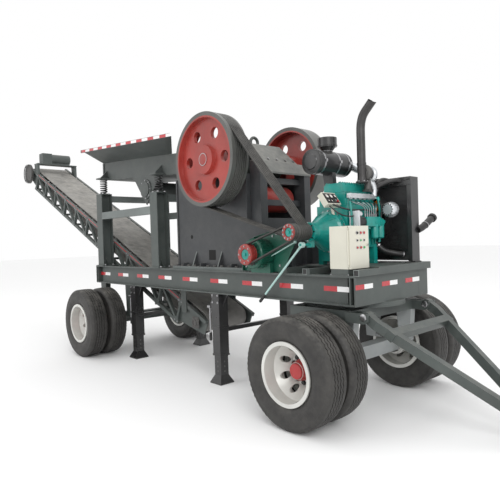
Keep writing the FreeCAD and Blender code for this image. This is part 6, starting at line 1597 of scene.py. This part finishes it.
for x in LEGS:
    for side in (-1, 1):
        y = side * 599
        for z in (352, 700, 1060):
            block(leg_bits, place(x - 76, y - 76, z - 12), place(x + 76, y + 76, z + 12))
        for reach in (-1, 1):
            plate(leg_bits, [place(x + reach * 70, y, 1106), place(x + reach * 170, y, 1106),
                             place(x + reach * 70, y, 950)], (0, side * 0.010, 0))
    turned(leg_bits, place(x - 116, -599, 925), (-1, 0, 0),
           [(0.0, 0.0), (0.040, 0.0), (0.040, 0.010), (0.026, 0.016),
                                                           (0.0, 0.016)], sides=28)
    for z in (560, 650, 740):
        block(leg_bits, place(x - 28, -529, z - 4), place(x + 28, -520, z + 4))
piece("leg_bands", leg_bits, [black_paint], "chassis", bevel=0.002)
leg_spots = []
for x in LEGS:
    for side in (-1, 1):
        for z in (1000, 1085):
            for dx in (-50, 50):
                leg_spots.append((place(x + dx, side * 671, z), Vector((0, side, 0))))
    for dz in (-58, 58):
        for dy in (-34, 34):
            leg_spots.append((place(x - 118, -599 + dy, 925 + dz), -X))
bolted("leg_bolts", leg_spots, 0.020, 0.008)
for end_name, x in (("front", LEGS[0]), ("rear", LEGS[1])):
    holes = bmesh.new()
    for side in (-1, 1):
        for z in (150, 210, 270):
            for face in (-1, 1):
                rod(holes, place(x + face * 59.2, side * 599, z), place(x + face * 60.2, side * 599, z),
                    0.012, sides=16)
                rod(holes, place(x, side * 599 + face * 59.2, z), place(x, side * 599 + face * 60.2, z),
                    0.012,
                    sides=16)
    piece(f"{end_name}_leg_holes", holes, [cast_iron], f"{end_name}_legs")
    crank_grip = bmesh.new()
    at = x - 200
    turned(crank_grip, place(at, -599, 497), Z,
           [(0.0105, 0.0), (0.0165, 0.002), (0.0175, 0.050), (0.0165, 0.100),
                                              (0.0105, 0.104)], sides=20)
    piece(f"{end_name}_crank_grip", crank_grip, [hose_rubber], f"{end_name}_crank")

# %% [markdown]
# A leaf spring is a stack of flat bars, each shorter than the one above, held by two long bolts at the
# axle. The front ones turn with the dolly.

# %% Dolly, axles and drawbar
leaves = {"front_dolly": bmesh.new(), "chassis": bmesh.new()}
for body, x, reach in (("front_dolly", 0, 215), ("chassis", -4472, 430)):
    draft = leaves[body]
    for y in (-520, 520):
        for k in range(6):
            half = reach * (1.0 - 0.13 * k) - 4
            z = 653 - 9.5 * k
            block(draft, place(x - half, y - 38, z - 8.0), place(x + half, y + 38, z))
        for dx in (-60, 60):
            for dy in (-44, 44):
                rod(draft, place(x + dx, y + dy, 446), place(x + dx, y + dy, 672), 0.009, sides=10)
        block(draft, place(x - 80, y - 52, 655), place(x + 80, y + 52, 667))
        block(draft, place(x - 80, y - 52, 444), place(x + 80, y + 52, 454))
for body, draft in leaves.items():
    piece(f"leaf_springs_{body}", draft, [cast_iron], body, bevel=0.0015)
hinge_bits = bmesh.new()
for y in (-560, 560):
    for side in (-1, 1):
        turned(hinge_bits, place(460, y + side * 68, 1012), (0, side, 0),
               [(0.0, 0.0), (0.034, 0.0), (0.034, 0.008),
                                                                        (0.026, 0.012), (0.0, 0.012)],
                                                                        sides=28)
piece("drawbar_pin_heads", hinge_bits, [steel], "front_dolly")
print("running gear dressed")

# %% [markdown]
# ## Conveyor
# The truss that carries the belt has gusset plates and bolts, and the drums turn in bolted bearings. Two
# bent bars guard the head end, and a thin red line runs along the edge of the belt.

# %% Truss plates and the head end
SLOPE = math.radians(23.9)
DRUM_DROP = 142.0
TAIL_X, HEAD_X = -2400.0, -8620.0


def conveyor_spot(distance, below, y):
    """A place on the conveyor: a distance up from the tail drum, square below the belt's top."""
    top_z = 2270 + (-5707 - TAIL_X) * math.tan(SLOPE)
    tail_z = top_z - DRUM_DROP / math.cos(SLOPE)
    x = TAIL_X - distance * math.cos(SLOPE) - (below - DRUM_DROP) * math.sin(SLOPE)
    return place(x, y, tail_z + distance * math.sin(SLOPE) - (below - DRUM_DROP) * math.cos(SLOPE))


RUN = (TAIL_X - HEAD_X) / math.cos(SLOPE)
FIRST, LAST = 430.0, RUN - 420.0
STEP = (LAST - FIRST) / 11
gussets = bmesh.new()
for side in (-1, 1):
    for k in range(12):
        distance = FIRST + k * STEP
        for below, reach in ((40, 1), (360, -1)):
            outline = [conveyor_spot(distance - 60, below - 22 * reach, side * 445),
                       conveyor_spot(distance + 60, below - 22 * reach, side * 445),
                       conveyor_spot(distance + 30, below + 70 * reach, side * 445),
                       conveyor_spot(distance - 30, below + 70 * reach, side * 445)]
            plate(gussets, outline, (0, side * 0.005, 0))
piece("truss_gussets", gussets, [frame_paint], "chassis")
edge_line = bmesh.new()
for side in (-1, 1):
    outline = [conveyor_spot(distance, below, side * 445)
               for distance, below in ((FIRST, 27), (LAST, 27), (LAST, 16), (FIRST, 16))]
    plate(edge_line, outline, (0, side * 0.0015, 0))
piece("truss_red_line", edge_line, [tape_red], "chassis")
bolt_places = []
for side in (-1, 1):
    for k in range(12):
        distance = FIRST + k * STEP
        for shift in (-34, 34):
            bolt_places.append((conveyor_spot(distance + shift, 40, side * 451), Vector((0, side, 0))))
            bolt_places.append((conveyor_spot(distance + shift, 352, side * 451), Vector((0, side, 0))))
bolted("truss_bolts", bolt_places, 0.018, 0.007)
idlers = bmesh.new()
for k in range(16):
    distance = 560 + k * (RUN - 1100) / 15
    for side in (-1, 1):
        block(idlers, conveyor_spot(distance + 12, 20, side * 396) - Vector((0.0, 0.0, 0.012)),
              conveyor_spot(distance - 12, 20, side * 366) + Vector((0, 0, 0.012)))
piece("skirt_clips", idlers, [steel], "chassis")
head = conveyor_spot(RUN, DRUM_DROP, 0)
bearing = bmesh.new()
for side in (-1, 1):
    for distance in (0, RUN):
        centre = conveyor_spot(distance, DRUM_DROP, side * 447)
        turned(bearing, centre, (0, side, 0), [(0.031, 0.0), (0.062, 0.0), (0.062, 0.012), (0.046, 0.020),
                                            (0.046, 0.034), (0.031, 0.036)], sides=28)
        for dx, dz in ((-0.06, -0.06), (0.06, -0.06), (-0.06, 0.06), (0.06, 0.06)):
            rod(bearing, centre + Vector((dx, 0, dz)), centre + Vector((dx, side * 0.016, dz)), 0.010,
                sides=10)
        block(bearing, centre + Vector((-0.078, 0, -0.078)), centre + Vector((0.078, side * 0.009, 0.078)))
piece("drum_bearings", bearing, [cast_iron], "chassis", bevel=0.002)
guard = bmesh.new()
guard_reach = head.x - cad_low.x - 0.0075
for reach in (guard_reach - 0.022, guard_reach):
    points = []
    for i in range(9):
        t = math.radians(60 + 30 * i)
        points.append(Vector((head.x, -0.530, head.z)) + Vector((math.cos(t) * reach, 0,
                                                                 math.sin(t) * reach)))
    pipe(guard, points, 0.006, sides=8, rounds=2)
piece("sheave_guard", guard, [black_paint], "chassis")
